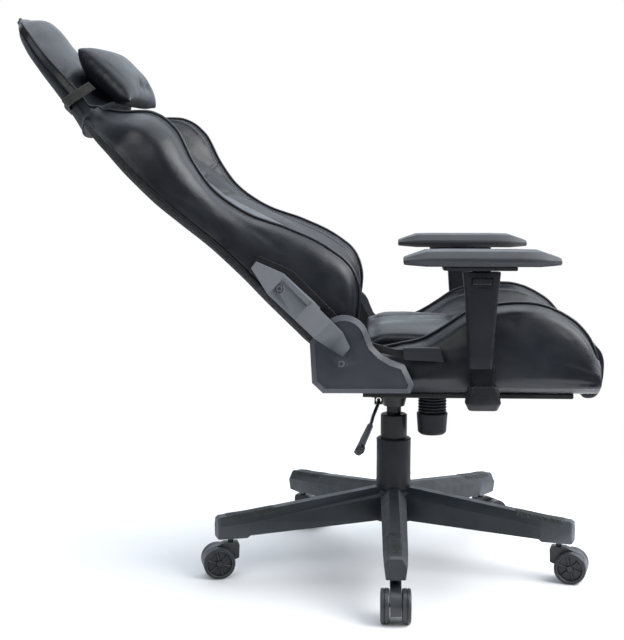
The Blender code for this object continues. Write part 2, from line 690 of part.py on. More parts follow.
def pillow_strap(back):
    """A flat elastic band round the sides and the back of the head part."""
    half_width, thickness = 0.1475, 0.002
    front, rear, radius = -0.008, -0.0715, 0.030
    outer = [(front, half_width)]
    outer += [(rear + radius - radius * math.sin(math.radians(a)), half_width - radius + radius
               * math.cos(math.radians(a))) for a in range(0, 91, 18)]
    outer += [(x, -y) for x, y in reversed(outer)]
    inner = []
    for x, y in outer:
        inner.append((x if x == front else x + thickness * (1.0 if abs(y) < half_width - radius / 2 else 0.4),
                      y - math.copysign(thickness, y)))
    outline = outer + inner[::-1]
    low, high = 0.627, 0.645
    rings = [[(x, y, height + 0.25 * (front - x)) for x, y in outline] for height in (low, high)]
    paint(loft("pillow_strap", rings, back), (0.06, 0.06, 0.055), 0.9)


# --- armrests -----------------------------------------------------------------------------------------
def rounded_section(length, depth, height, corner=0.007):
    corners = [(length / 2, depth / 2), (-length / 2, depth / 2), (-length / 2, -depth / 2),
               (length / 2, -depth / 2)]
    return [(x, y, height) for x, y in rounded(corners, corner, 3)]


def armrest_fixed(side, mark, seat):
    bracket = box(f"armrest_bracket_{mark}", (0.045, 0.1435, 0.005),
                  from_tilt_axis(ARMREST_X + 0.005, side * 0.17175, BOARD_BOTTOM - GAP - 0.0025), seat)
    black_steel(bracket)
    place = from_tilt_axis(ARMREST_X + 0.0055, side * ARMREST_Y, 0.0)
    foot = loft(f"armrest_stem_{mark}", [
        rounded_section(0.050, 0.030, 0.354, 0.010),
        rounded_section(0.062, 0.036, 0.366, 0.012),
        rounded_section(0.056, 0.036, 0.384, 0.012),
        rounded_section(0.046, 0.034, 0.396, 0.010),
        rounded_section(STEM_LENGTH_X, STEM_DEPTH_Y, 0.3965, 0.006),
        rounded_section(STEM_LENGTH_X, STEM_DEPTH_Y, 0.540, 0.006)], seat, place)
    dark_plastic(foot)


def armrest_sleeve(side, mark, height_slide):
    sleeve = loft(f"armrest_sleeve_{mark}", [
        rounded_section(0.0405, 0.030, SLEEVE_BOTTOM, 0.007),
        rounded_section(0.0420, 0.031, 0.450, 0.007),
        rounded_section(0.0560, 0.036, 0.550, 0.009),
        rounded_section(0.0650, 0.038, SLEEVE_TOP, 0.010)], height_slide)
    cavity = loft(f"sleeve_cavity_{mark}", [
        rounded_section(STEM_LENGTH_X + 2 * RUNNING_GAP, STEM_DEPTH_Y + 2 * RUNNING_GAP, z, 0.006)
        for z in (SLEEVE_BOTTOM - 0.01, 0.567)], height_slide, (0.0055, 0.0, 0.0))
    cut(sleeve, cavity)
    face = side * 0.019
    recess_depth = 0.0110 + BUTTON_TRAVEL
    cut(sleeve, box(f"button_recess_{mark}", (0.0346, 2 * recess_depth - 0.003, 0.0116),
                    (0.0, face, BUTTON_HEIGHT), height_slide))
    for groove in (-0.007, 0.0, 0.007):
        cut(sleeve, box(f"groove_{mark}", (0.0014, 0.003, 0.010), (groove, face, BUTTON_HEIGHT + 0.0125),
                        height_slide))
    cut(sleeve, box(f"slot_{mark}", (0.019, 0.004, 0.0014), (0.0, face, BUTTON_HEIGHT - 0.0105), height_slide))
    dark_plastic(sleeve)


def armrest_button(side, mark, button_slide):
    button = box(f"armrest_button_{mark}", (0.034, 0.0110, 0.011), (0.0, 0.0, 0.0), button_slide)
    bevel(button, 0.002, 2)
    dark_plastic(button)


def armrest_plate(mark, pad_swivel):
    outline = rounded([(PAD_PLATE_REAR, -PAD_PLATE_SIDE), (PAD_PLATE_FRONT, -PAD_PLATE_SIDE),
                       (PAD_PLATE_FRONT, PAD_PLATE_SIDE), (PAD_PLATE_REAR, PAD_PLATE_SIDE)], 0.010)
    steel = loft(f"armrest_plate_{mark}", [[(x, y, z) for x, y in outline]
                                           for z in (PAD_PLATE_BOTTOM, PAD_PLATE_TOP)], pad_swivel)
    join(steel, cylinder(f"swivel_boss_{mark}", 0.016, 0.006, (0.0, 0.0, PAD_PLATE_BOTTOM - 0.001), pad_swivel,
                         sides=24))
    dark_plastic(steel)


def armrest_pad(mark, pad_slide):
    """An arched pad with pointed, chamfered ends."""
    rings = []
    half_length, half_width = PAD_LENGTH / 2, PAD_WIDTH / 2
    for share in (-1.0, -0.9, -0.72, -0.45, 0.45, 0.72, 0.9, 1.0):
        end = max(0.0, (abs(share) - 0.72) / 0.28)
        side = half_width * (1.0 - 0.42 * end ** 1.5)
        arch = 0.003 * max(0.0, (abs(share) - 0.45) / 0.55) ** 2
        top = PAD_TOP - arch - 0.010 * end
        bottom = PAD_BOTTOM + RUNNING_GAP + 0.002 * end
        edge = bottom + 0.45 * (top - bottom)
        rings.append([(half_length * share, y, z) for y, z in (
            (-side + 0.008, bottom), (side - 0.008, bottom), (side, edge - 0.003), (side, edge + 0.003),
            (side - 0.010, top), (-side + 0.010, top), (-side, edge + 0.003), (-side, edge - 0.003))])
    dark_plastic(loft(f"armrest_pad_{mark}", rings, pad_slide))


def armrest(side, mark, seat):
    armrest_fixed(side, mark, seat)
    height_slide = make_empty(f"armrest_height_{mark}", from_tilt_axis(ARMREST_X, side * ARMREST_Y, 0.0), seat)
    armrest_sleeve(side, mark, height_slide)
    button_slide = make_empty(f"armrest_button_slide_{mark}", (0.0, side * 0.0160, BUTTON_HEIGHT), height_slide)
    armrest_button(side, mark, button_slide)
    pad_swivel = make_empty(f"armrest_swivel_{mark}", (0.0, 0.0, 0.0), height_slide)
    armrest_plate(mark, pad_swivel)
    pad_slide = make_empty(f"armrest_slide_{mark}", (0.0, 0.0, 0.0), pad_swivel)
    armrest_pad(mark, pad_slide)


# --- assembly -----------------------------------------------------------------------------------------
def build_chair():
    chair = make_empty("chair", (COLUMN_X, COLUMN_Y, 0.0))
    star_base(chair)
    for index in range(LEG_COUNT):
        caster(index, chair)
    lift = make_empty("lift", (0.0, 0.0, 0.0), chair)
    gas_column(chair, lift)
    swivel = make_empty("seat_swivel", (0.0, 0.0, 0.0), lift)
    mechanism_housing(swivel)
    tension_barrel(swivel)
    tension_knob(swivel)
    gas_lever(swivel)
    seat = make_empty("seat_tilt", TILT_AXIS, swivel)
    seat_plate(seat)
    seat_board(seat)
    seat_cushion(seat)
    front_roll(seat)
    recline_place = RECLINE_AXIS - TILT_AXIS
    back = make_empty("recline", recline_place, seat, (0.0, -math.radians(RECLINE_ANGLE), 0.0))
    lever_axis = make_empty("recline_lever_axis", recline_place, seat)
    recline_lever(lever_axis)
    for side, mark in SIDES:
        seat_bolster(side, mark, seat)
        side_cover(side, mark, seat)
        recliner_plate(side, mark, seat)
        back_arm(side, mark, back)
        bracket_cover(side, mark, back)
        back_wing(side, mark, back)
        armrest(side, mark, seat)
    back_panel(back)
    head_part(back)
    pillow(back)
    pillow_strap(back)


build_chair()
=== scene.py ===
"""The gaming chair's looks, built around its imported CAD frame.

Metres, +Z up, floor at Z = 0. The chair faces +X and its right side is at -Y. Soft parts are lofted
through the sections of the CAD solids that they replace, puffed up as cloth between their seams, and
trimmed with piping and stitches. Hard parts keep their CAD shape and get rounded edges and finer pieces
on top.
"""

import json
import math
from collections import namedtuple
from itertools import product

import bmesh
import bpy
import numpy as np
from mathutils import Matrix, Vector, noise
from mathutils.bvhtree import BVHTree
from mathutils.kdtree import KDTree

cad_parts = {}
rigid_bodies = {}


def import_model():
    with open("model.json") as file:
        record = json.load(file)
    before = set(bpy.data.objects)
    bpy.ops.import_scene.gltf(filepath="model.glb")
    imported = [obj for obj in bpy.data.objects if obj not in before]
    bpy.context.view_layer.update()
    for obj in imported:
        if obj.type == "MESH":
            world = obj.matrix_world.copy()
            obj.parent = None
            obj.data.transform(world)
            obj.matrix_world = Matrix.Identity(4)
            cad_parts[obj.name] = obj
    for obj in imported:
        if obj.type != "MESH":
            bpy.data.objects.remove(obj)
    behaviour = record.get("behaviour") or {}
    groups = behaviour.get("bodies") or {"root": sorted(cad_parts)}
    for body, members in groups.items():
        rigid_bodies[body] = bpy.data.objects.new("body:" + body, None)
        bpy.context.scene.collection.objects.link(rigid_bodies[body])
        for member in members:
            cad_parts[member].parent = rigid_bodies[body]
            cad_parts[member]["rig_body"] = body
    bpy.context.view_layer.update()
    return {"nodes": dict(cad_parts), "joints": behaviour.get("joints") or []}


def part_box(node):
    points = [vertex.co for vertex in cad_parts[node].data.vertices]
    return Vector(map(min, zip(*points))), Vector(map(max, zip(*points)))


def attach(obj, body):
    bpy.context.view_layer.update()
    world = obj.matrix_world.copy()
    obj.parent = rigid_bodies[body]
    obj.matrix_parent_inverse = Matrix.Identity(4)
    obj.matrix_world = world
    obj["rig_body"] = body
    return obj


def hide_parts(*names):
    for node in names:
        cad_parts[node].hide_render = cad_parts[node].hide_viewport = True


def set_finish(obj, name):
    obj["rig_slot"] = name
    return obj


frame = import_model()

# --- places taken from the frame ---
SIDES = ("right", "left")
LEG_COUNT = 5
JOINTS = {joint["name"]: joint for joint in frame["joints"]}


def centre_of(node):
    low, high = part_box(node)
    return (low + high) / 2


COLUMN = centre_of("gas_piston")
COLUMN.z = 0.0
RECLINE_AXIS = Vector(JOINTS["recline"]["pos_m"])
RECLINE = math.radians(45)      # the backrest leans back this far at rest

# a direction to step along, and the two directions that a section is drawn in
Axes = namedtuple("Axes", "origin along across rise")
BACK_UP = Vector((-math.sin(RECLINE), 0.0, math.cos(RECLINE)))
BACK_FORWARD = Vector((math.cos(RECLINE), 0.0, math.sin(RECLINE)))
RIGHTWARD = Vector((0.0, -1.0, 0.0))
LEFTWARD = Vector((0.0, 1.0, 0.0))
FORWARD = Vector((1.0, 0.0, 0.0))
UP = Vector((0.0, 0.0, 1.0))
SEAT_SIDE_AXES = Axes(COLUMN, FORWARD, RIGHTWARD, UP)
SEAT_AXES = Axes(COLUMN, FORWARD, LEFTWARD, UP)
ROLL_AXES = Axes(COLUMN, LEFTWARD, FORWARD, UP)
WING_AXES = Axes(RECLINE_AXIS, BACK_UP, RIGHTWARD, BACK_FORWARD)
BACK_AXES = Axes(RECLINE_AXIS, BACK_UP, LEFTWARD, BACK_FORWARD)


def in_axes(axes, along, across, rise):
    return axes.origin + axes.along * along + axes.across * across + axes.rise * rise


def measured(points, axes):
    """How far points lie along, across and up some axes, as three rows."""
    return np.array([(points - np.array(axes.origin)) @ np.array(axis) for axis in axes[1:]])


def add_object(name, data):
    thing = bpy.data.objects.new(name, data)
    bpy.context.scene.collection.objects.link(thing)
    return thing


# --- camera, lights and floor ---
CAMERA_FROM_COLUMN = Vector((-0.0397, -2.5173, 0.7784))
CAMERA_DOWN = math.radians(6.808)
CAMERA_YAW = math.radians(2.718)
CAMERA_LENS = 73.92

STUDIO_TINT = (0.82, 0.90, 1.0, 1.0)
STUDIO_DIM = 0.12
STUDIO_BRIGHT = 1.6
BRIGHTEST = Vector((0.2, 0.5, 0.84)).normalized()      # overhead and to the chair's left

SUN_STRENGTH = 1.2
SUN_ANGLE = math.radians(60)
SUN_TURN = (math.radians(-10), math.radians(8), 0.0)

FLOOR_RADIUS = 1.15
FLOOR_COLUMNS = 96


def make_camera():
    data = bpy.data.cameras.new("camera")
    data.lens = CAMERA_LENS
    camera = add_object("camera", data)
    camera.location = COLUMN + CAMERA_FROM_COLUMN
    camera.rotation_euler = (math.pi / 2 - CAMERA_DOWN, 0.0, CAMERA_YAW)
    bpy.context.scene.camera = camera


def make_world():
    """White where the camera sees it. Its light fades with the angle from the brightest direction."""
    world = bpy.data.worlds.new("studio")
    world.use_nodes = True
    around = world.node_tree.nodes["Background"]
    around.inputs["Color"].default_value = STUDIO_TINT
    direction = add_node(world, "TexCoord")
    height = add_node(world, "VectorMath", operation="DOT_PRODUCT")
    height.inputs[1].default_value = BRIGHTEST
    fade = add_node(world, "MapRange", interpolation_type="SMOOTHSTEP",
                    To_Min=STUDIO_DIM, To_Max=STUDIO_BRIGHT)
    seen = add_node(world, "Background", Color=(1.0, 1.0, 1.0, 1.0))
    path = add_node(world, "LightPath")
    mix = add_node(world, "MixShader")
    link(world, direction, "Generated", height, 0)
    link(world, height, "Value", fade, "Value")
    link(world, fade, "Result", around, "Strength")
    link(world, path, "Is Camera Ray", mix, "Fac")
    link(world, around, "Background", mix, 1)
    link(world, seen, "Background", mix, 2)
    link(world, mix, "Shader", world.node_tree.nodes["World Output"], "Surface")
    bpy.context.scene.world = world
    bpy.context.scene.view_settings.view_transform = "Standard"


def soft_light(name, place, aim_height, size, power):
    """A rectangular light at a place from the column's foot, aimed at a height on the column."""
    data = bpy.data.lights.new(name, "AREA")
    data.shape = "RECTANGLE"
    data.size, data.size_y = size
    data.energy = power
    light = add_object(name, data)
    light.location = COLUMN + Vector(place)
    direction = Vector((0.0, 0.0, aim_height)) - Vector(place)
    light.rotation_euler = direction.to_track_quat("-Z", "Y").to_euler()
    light.visible_camera = False


def make_lights():
    soft_light("key", place=(1.9, -0.95, 1.95), aim_height=0.6, size=(2.0, 1.7), power=78)
    soft_light("fill", place=(-1.5, -2.3, 1.5), aim_height=0.7, size=(1.6, 1.6), power=20)
    soft_light("rim", place=(2.0, 1.3, 1.9), aim_height=0.6, size=(2.0, 2.0), power=14)
    sun = bpy.data.lights.new("overhead", "SUN")
    sun.energy = SUN_STRENGTH
    sun.angle = SUN_ANGLE
    add_object("overhead", sun).rotation_euler = SUN_TURN


def make_floor():
    """A pale disc under the chair."""
    turns = [2 * math.pi * column / FLOOR_COLUMNS for column in range(FLOOR_COLUMNS)]
    points = [COLUMN + Vector((math.cos(turn), math.sin(turn), 0.0)) * FLOOR_RADIUS for turn in turns]
    mesh = bpy.data.meshes.new("floor")
    mesh.from_pydata(points, [], [tuple(range(FLOOR_COLUMNS))])
    look, shader = new_look("floor", (0.88, 0.88, 0.88), 0.8)
    mottle(look, shader, (0.87, 0.87, 0.87), (0.89, 0.89, 0.89), 0.8)
    mesh.materials.append(look)
    add_object("floor", mesh)


# --- materials ---
def new_look(name, colour, roughness, metallic=0.0, specular=0.5):
    material = bpy.data.materials.new(name)
    material.use_nodes = True
    shader = material.node_tree.nodes["Principled BSDF"]
    shader.inputs["Base Color"].default_value = (*colour, 1.0)
    shader.inputs["Roughness"].default_value = roughness
    shader.inputs["Metallic"].default_value = metallic
    shader.inputs["Specular IOR Level"].default_value = specular
    return material, shader


def add_node(owner, kind, **values):
    """A shader node. Its inputs and properties are set by name, with underscores for an input's spaces."""
    node = owner.node_tree.nodes.new("ShaderNode" + kind)
    for name, value in values.items():
        entry = name.replace("_", " ")
        if entry in node.inputs:
            node.inputs[entry].default_value = value
        else:
            setattr(node, name, value)
    return node


def link(owner, source, output, target, entry):
    owner.node_tree.links.new(source.outputs[output], target.inputs[entry])


def object_place(material, stretch, turn):
    """The point on the object, stretched or turned, to feed a texture."""
    place = add_node(material, "TexCoord")
    mapping = add_node(material, "Mapping", Scale=stretch, Rotation=turn)
    link(material, place, "Object", mapping, "Vector")
    return mapping


def texture(material, kind, stretch=(1.0, 1.0, 1.0), turn=(0.0, 0.0, 0.0), **values):
    """A texture by the point on the object."""
    node = add_node(material, "Tex" + kind, **values)
    link(material, object_place(material, stretch, turn), "Vector", node, "Vector")
    return node


def speckle(material, scale, detail=3.0, stretch=(1.0, 1.0, 1.0)):
    return texture(material, "Noise", stretch, Scale=scale, Detail=detail)


def ramp(material, source, output, low, high, start=0.35, end=0.65):
    """Two colours over a texture's range."""
    node = add_node(material, "ValToRGB")
    node.color_ramp.elements[0].color = (*low, 1.0)
    node.color_ramp.elements[1].color = (*high, 1.0)
    node.color_ramp.elements[0].position = start
    node.color_ramp.elements[1].position = end
    link(material, source, output, node, "Fac")
    return node


def mottle(material, shader, low, high, scale):
    """Slow colour variation."""
    colours = ramp(material, speckle(material, scale), "Fac", low, high)
    link(material, colours, "Color", shader, "Base Color")
    return colours


def edge_wear_and_painted_highlight(material, shader, colours, tint, share):
    """Lighter convex edges over the colour that the shader already has: part wear, part painted highlight."""
    shape = add_node(material, "NewGeometry")
    edges = ramp(material, shape, "Pointiness", (0.0, 0.0, 0.0), (share, share, share), 0.51, 0.60)
    mix = add_node(material, "MixRGB", Color2=(*tint, 1.0))
    link(material, edges, "Color", mix, "Fac")
    link(material, colours, "Color", mix, "Color1")
    link(material, mix, "Color", shader, "Base Color")


def rough_spread(material, shader, pattern, low, high):
    """Roughness that follows a texture between two values."""
    spread = add_node(material, "MapRange", From_Min=0.3, From_Max=0.7, To_Min=low, To_Max=high)
    link(material, pattern, "Fac", spread, "Value")
    link(material, spread, "Result", shader, "Roughness")


def bump(material, shader, pattern, output, height, strength=1.0, under=None):
    """Surface relief of a given height in metres, on top of an earlier bump."""
    node = add_node(material, "Bump", Strength=strength, Distance=height)
    link(material, pattern, output, node, "Height")
    if under is not None:
        link(material, under, "Normal", node, "Normal")
    link(material, node, "Normal", shader, "Normal")
    return node


def leather_look():
    look, shader = new_look("black_leather", (0.010, 0.011, 0.014), 0.38)
    colours = mottle(look, shader, (0.0055, 0.0068, 0.0105), (0.0095, 0.0115, 0.0165), 9.0)
    edge_wear_and_painted_highlight(look, shader, colours, (0.05, 0.052, 0.058), 0.35)
    rough_spread(look, shader, speckle(look, 30.0, 5.0), 0.32, 0.44)
    soft = bump(look, shader, speckle(look, 26.0, 2.0), "Fac", 0.0016, 0.5)
    pebbles = texture(look, "Voronoi", Scale=850.0, feature="SMOOTH_F1")
    grain = bump(look, shader, pebbles, "Distance", 0.00022, 0.55, soft)
    bump(look, shader, speckle(look, 2600.0, 2.0), "Fac", 0.00005, 0.5, grain)
    return look


def fabric_look():
    """Dark woven cover of the backrest's rear."""
    look, shader = new_look("rear_fabric", (0.010, 0.010, 0.012), 0.85, specular=0.25)
    shader.inputs["Sheen Weight"].default_value = 0.15
    shader.inputs["Sheen Roughness"].default_value = 0.5
    mottle(look, shader, (0.008, 0.008, 0.010), (0.014, 0.014, 0.017), 60.0)
    under = None
    for turn in ((0.0, RECLINE, 0.0), (math.pi / 2, 0.0, 0.0)):
        thread = texture(look, "Wave", turn=turn, Scale=420.0, bands_direction="Z")
        under = bump(look, shader, thread, "Fac", 0.0003, 0.6, under)
    return look


def elastic_look():
    look, shader = new_look("elastic", (0.05, 0.05, 0.046), 0.9, specular=0.2)
    shader.inputs["Sheen Weight"].default_value = 0.3
    mottle(look, shader, (0.035, 0.035, 0.032), (0.07, 0.07, 0.065), 420.0)
    knit = texture(look, "Voronoi", (1.0, 1.0, 2.2), (0.0, RECLINE, 0.0), Scale=900.0)
    bump(look, shader, knit, "Distance", 0.0004, 0.8)
    return look


def plastic_look(name, dark, light, edge, roughness, grain=1400.0, height=0.00008, specular=0.4):
    """Moulded plastic with a spark-eroded texture and paler edges, which are part wear and part painted
    highlight.
    """
    look, shader = new_look(name, light, roughness, specular=specular)
    colours = mottle(look, shader, dark, light, 14.0)
    edge_wear_and_painted_highlight(look, shader, colours, edge, 0.6)
    rough_spread(look, shader, speckle(look, 45.0, 4.0), roughness - 0.06, roughness + 0.08)
    skin = bump(look, shader, speckle(look, grain, 3.0), "Fac", height, 0.8)
    bump(look, shader, speckle(look, 12.0, 2.0), "Fac", 0.0006, 0.25, skin)
    return look


def steel_look(name, dark, light, roughness, metallic, stretch=(1.0, 1.0, 1.0)):
    look, shader = new_look(name, light, roughness, metallic)
    mottle(look, shader, dark, light, 35.0)
    streaks = speckle(look, 240.0, 4.0, stretch)
    rough_spread(look, shader, streaks, roughness - 0.05, roughness + 0.1)
    bump(look, shader, streaks, "Fac", 0.00006, 0.5)
    return look


def tread_look():
    """Grained rubber of the foot rests."""
    look, shader = new_look("foot_rest_rubber", (0.012, 0.014, 0.014), 0.6)
    colours = mottle(look, shader, (0.009, 0.011, 0.011), (0.02, 0.024, 0.024), 90.0)
    edge_wear_and_painted_highlight(look, shader, colours, (0.06, 0.066, 0.066), 0.5)
    bump(look, shader, texture(look, "Voronoi", Scale=260.0), "Distance", 0.0012, 1.0)
    return look


def thread_look():
    look, shader = new_look("thread", (0.03, 0.03, 0.033), 0.6, specular=0.4)
    mottle(look, shader, (0.022, 0.022, 0.025), (0.045, 0.045, 0.05), 300.0)
    bump(look, shader, texture(look, "Wave", Scale=700.0, bands_direction="DIAGONAL"), "Fac", 0.0002, 0.7)
    return look


# edge: the colour of the paler convex edges, part wear and part painted highlight
PLASTICS = {
    "grey_plastic": dict(dark=(0.027, 0.030, 0.039), light=(0.038, 0.042, 0.053), edge=(0.22, 0.235, 0.26),
                         roughness=0.42, specular=0.5),
    "black_plastic": dict(dark=(0.009, 0.010, 0.013), light=(0.014, 0.015, 0.019), edge=(0.08, 0.085, 0.095),
                          roughness=0.46, specular=0.22),
    "pad_plastic": dict(dark=(0.022, 0.024, 0.029), light=(0.030, 0.033, 0.039), edge=(0.13, 0.135, 0.145),
                        roughness=0.48, grain=900.0, height=0.00012),
    "base_nylon": dict(dark=(0.012, 0.015, 0.019), light=(0.020, 0.024, 0.030), edge=(0.14, 0.155, 0.17),
                       roughness=0.46, grain=1100.0, height=0.0001),
    "caster_nylon": dict(dark=(0.010, 0.011, 0.013), light=(0.018, 0.019, 0.022), edge=(0.10, 0.105, 0.115),
                         roughness=0.35, grain=1500.0, height=0.00005),
    "gloss_plastic": dict(dark=(0.008, 0.008, 0.010), light=(0.012, 0.012, 0.014), edge=(0.05, 0.05, 0.055),
                          roughness=0.25, grain=1500.0, height=0.00003),
    "seat_board": dict(dark=(0.008, 0.008, 0.008), light=(0.014, 0.014, 0.014), edge=(0.04, 0.04, 0.04),
                       roughness=0.75),
}

LOOKS = {name: plastic_look(name, **values) for name, values in PLASTICS.items()}
LOOKS["leather"] = leather_look()
LOOKS["fabric"] = fabric_look()
LOOKS["elastic"] = elastic_look()
LOOKS["thread"] = thread_look()
LOOKS["foot_rest"] = tread_look()
LOOKS["black_steel"] = steel_look("black_steel", (0.005, 0.005, 0.006), (0.009, 0.009, 0.011), 0.42, 0.0)
LOOKS["bright_steel"] = steel_look("bright_steel", (0.35, 0.36, 0.38), (0.5, 0.51, 0.53), 0.25, 1.0,
                                   stretch=(1.0, 1.0, 0.1))


# --- meshes ---
def make_piece(name, points, faces, looks, look_of_face=None, sharp=50):
    """A smooth object, sharp where its faces meet at more than so many degrees."""
    mesh = bpy.data.meshes.new(name)
    mesh.from_pydata([tuple(p) for p in points], [], faces)
    for look in looks:
        mesh.materials.append(LOOKS[look])
    if look_of_face is not None:
        mesh.polygons.foreach_set("material_index", look_of_face)
    work = bmesh.new()
    work.from_mesh(mesh)
    bmesh.ops.recalc_face_normals(work, faces=work.faces)
    work.to_mesh(mesh)
    work.free()
    mesh.shade_smooth()
    mesh.set_sharp_from_angle(angle=math.radians(sharp))
    return add_object(name, mesh)


def place_piece(piece, body, slot, node=None):
    """Puts a piece on its body, and in place of a CAD node if one is named."""
    if node:
        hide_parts(node)
    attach(piece, body)
    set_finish(piece, slot)
    return piece


def apply_modifiers(piece):
    evaluated = piece.evaluated_get(bpy.context.evaluated_depsgraph_get())
    mesh = bpy.data.meshes.new_from_object(evaluated)
    piece.modifiers.clear()
    old = piece.data
    piece.data = mesh
    bpy.data.meshes.remove(old)


def subdivide(piece):
    modifier = piece.modifiers.new("subdivide", "SUBSURF")
    modifier.levels = 1
    modifier.render_levels = 1
    apply_modifiers(piece)


def coordinates(mesh):
    points = np.zeros(len(mesh.vertices) * 3)
    mesh.vertices.foreach_get("co", points)
    return points.reshape(-1, 3)


def normals(mesh):
    values = np.zeros(len(mesh.vertices) * 3)
    mesh.vertices.foreach_get("normal", values)
    return values.reshape(-1, 3)


def set_coordinates(mesh, points):
    mesh.vertices.foreach_set("co", points.ravel())
    mesh.update()


def surface_of(*pieces):
    """A tree that finds the nearest point on some meshes."""
    points, faces = [], []
    for piece in pieces:
        start = len(points)
        points += [vertex.co.copy() for vertex in piece.data.vertices]
        faces += [[start + i for i in face.vertices] for face in piece.data.polygons]
    return BVHTree.FromPolygons(points, faces)


def ring_faces(rows, size):
    """Quads between rings of points, each ring of the same size."""
    faces = []
    for low in range(0, (rows - 1) * size, size):
        high = low + size
        for column in range(size):
            after = (column + 1) % size
            faces.append((low + column, low + after, high + after, high + column))
    return faces


def capped_faces(rows, size):
    """Quads between rings, and one face on each end ring."""
    return ring_faces(rows, size) + [tuple(range(size)), tuple(range((rows - 1) * size, rows * size))]


def fanned_faces(rows, size):
    """Quads between rings, and a fan on each end ring round one of two points that come last."""
    faces = ring_faces(rows, size)
    for centre, start in ((rows * size, 0), (rows * size + 1, (rows - 1) * size)):
        faces += [(centre, start + column, start + (column + 1) % size) for column in range(size)]
    return faces


def rim_of(rows, columns):
    """The numbers of the points round the edge of a grid."""
    rim = list(range(columns))
    rim += [row * columns + columns - 1 for row in range(1, rows)]
    rim += [(rows - 1) * columns + column for column in range(columns - 2, -1, -1)]
    return rim + [row * columns for row in range(rows - 2, 0, -1)]


def sheet_faces(rows, columns):
    """Faces of a closed sheet: a grid of points, a second grid under it, and a strip round the rim."""
    under = rows * columns
    faces = []
    for row, column in product(range(rows - 1), range(columns - 1)):
        start = row * columns + column
        quad = [start, start + 1, start + columns + 1, start + columns]
        faces += [quad, [under + i for i in reversed(quad)]]
    rim = rim_of(rows, columns)
    return faces + [[here, after, under + after, under + here] for here, after in zip(rim, rim[1:] + rim[:1])]


# --- curves through points ---
def smooth_rows(rows, at, where):
    """Rows of values on a smooth curve, given the rows at some places."""
    rows, at, where = np.asarray(rows, float), np.asarray(at, float), np.asarray(where, float)
    if len(at) < 3:
        slopes = np.repeat((rows[-1:] - rows[:1]) / (at[-1] - at[0]), len(at), axis=0)
    else:
        slopes = np.gradient(rows, at, axis=0)
    i = np.clip(np.searchsorted(at, where, side="right") - 1, 0, len(at) - 2)
    step = at[i + 1] - at[i]
    t = ((where - at[i]) / step)[:, None]
    step = step[:, None]
    return ((2 * t ** 3 - 3 * t ** 2 + 1) * rows[i] + (t ** 3 - 2 * t ** 2 + t) * step * slopes[i]
            + (3 * t ** 2 - 2 * t ** 3) * rows[i + 1] + (t ** 3 - t ** 2) * step * slopes[i + 1])


def lengths_along(points):
    steps = np.linalg.norm(np.diff(points, axis=0), axis=1)
    return np.concatenate([[0.0], np.cumsum(steps)])


def even_path(points, spacing):
    """Evenly spaced points on a smooth curve through the given ones."""
    points = np.asarray(points, float)
    lengths = lengths_along(points)
    count = max(2, round(lengths[-1] / spacing))
    return smooth_rows(points, lengths, np.linspace(0.0, lengths[-1], count + 1))


def smooth_path(path, rounds):
    path = np.array(path)
    for _ in range(rounds):
        path[1:-1] = (path[:-2] + 2 * path[1:-1] + path[2:]) / 4
    return path


# --- lofts through the CAD's sections ---
MERGE = 0.0002          # points of a section that are closer than this are one corner
BEND = 0.01             # the sine of the smallest turn that makes a corner


def sections(node, axes):
    """The stations of a lofted CAD node, and its section's corners at each, left round from the low one."""
    mesh = frame["nodes"][node].data
    along, across, rise = measured(coordinates(mesh), axes)
    ends = np.array([edge.vertices[:] for edge in mesh.edges])
    places = np.sort(along)
    stations = [group.mean() for group in np.split(places, np.where(np.diff(places) > 2 * MERGE)[0] + 1)]
    rings = []
    for station in stations:
        on_plane = np.abs(along - station) < MERGE
        cut = list(zip(across[on_plane], rise[on_plane]))
        for i, j in ends:
            low, high = (i, j) if along[i] < along[j] else (j, i)
            if along[low] < station - MERGE and along[high] > station + MERGE:
                share = (station - along[low]) / (along[high] - along[low])
                cut.append((across[low] + share * (across[high] - across[low]),
                            rise[low] + share * (rise[high] - rise[low])))
        rings.append(corners_of(np.array(cut)))
    return np.array(stations), np.array(rings)


def corners_of(cut):
    """The corners of a section from loose points on its outline."""
    middle = (cut.min(0) + cut.max(0)) / 2
    ring = []
    for point in cut[np.argsort(np.arctan2(cut[:, 1] - middle[1], cut[:, 0] - middle[0]))]:
        if not ring or np.linalg.norm(point - ring[-1]) > MERGE:
            ring.append(point)
    if np.linalg.norm(ring[0] - ring[-1]) < MERGE:
        ring.pop()
    corners = []
    for before, here, after in zip(ring[-1:] + ring[:-1], ring, ring[1:] + ring[:1]):
        first, second = here - before, after - here
        turn = first[0] * second[1] - first[1] * second[0]
        if abs(turn) > BEND * np.linalg.norm(first) * np.linalg.norm(second):
            corners.append(here)
    start = min(range(len(corners)), key=lambda k: corners[k].sum())
    return corners[start:] + corners[:start]


def dense_rings(node, axes, corners, spacing):
    """Rings of points over a lofted CAD node, sharp only at some corners, and the column of each of those."""
    stations, rings = sections(node, axes)
    count = max(2, round((stations[-1] - stations[0]) / spacing))
    fine = np.linspace(stations[0], stations[-1], count + 1)
    fine_rings = smooth_rows(rings.reshape(len(stations), -1), stations, fine).reshape(len(fine), -1, 2)
    size = fine_rings.shape[1]
    stretches = [[k % size for k in range(start, end + 1)]
                 for start, end in zip(corners, corners[1:] + [corners[0] + size])]
    steps = []
    for stretch in stretches:
        longest = max(lengths_along(ring[stretch])[-1] for ring in fine_rings)
        steps.append(max(1, round(longest / spacing)))
    dense = []
    for station, ring in zip(fine, fine_rings):
        row = []
        for stretch, step in zip(stretches, steps):
            lengths = lengths_along(ring[stretch])
            row.append(smooth_rows(ring[stretch], lengths, np.linspace(0.0, lengths[-1], step + 1))[:-1])
        dense.append([in_axes(axes, station, *place) for place in np.concatenate(row)])
    return np.array(dense), np.concatenate([[0], np.cumsum(steps)])


# each ring of a domed end: the share of the end's size, and of the dome's height
CAP_RINGS = ((0.985, 0.4), (0.94, 0.8), (0.84, 0.95), (0.6, 1.0), (0.3, 1.0))


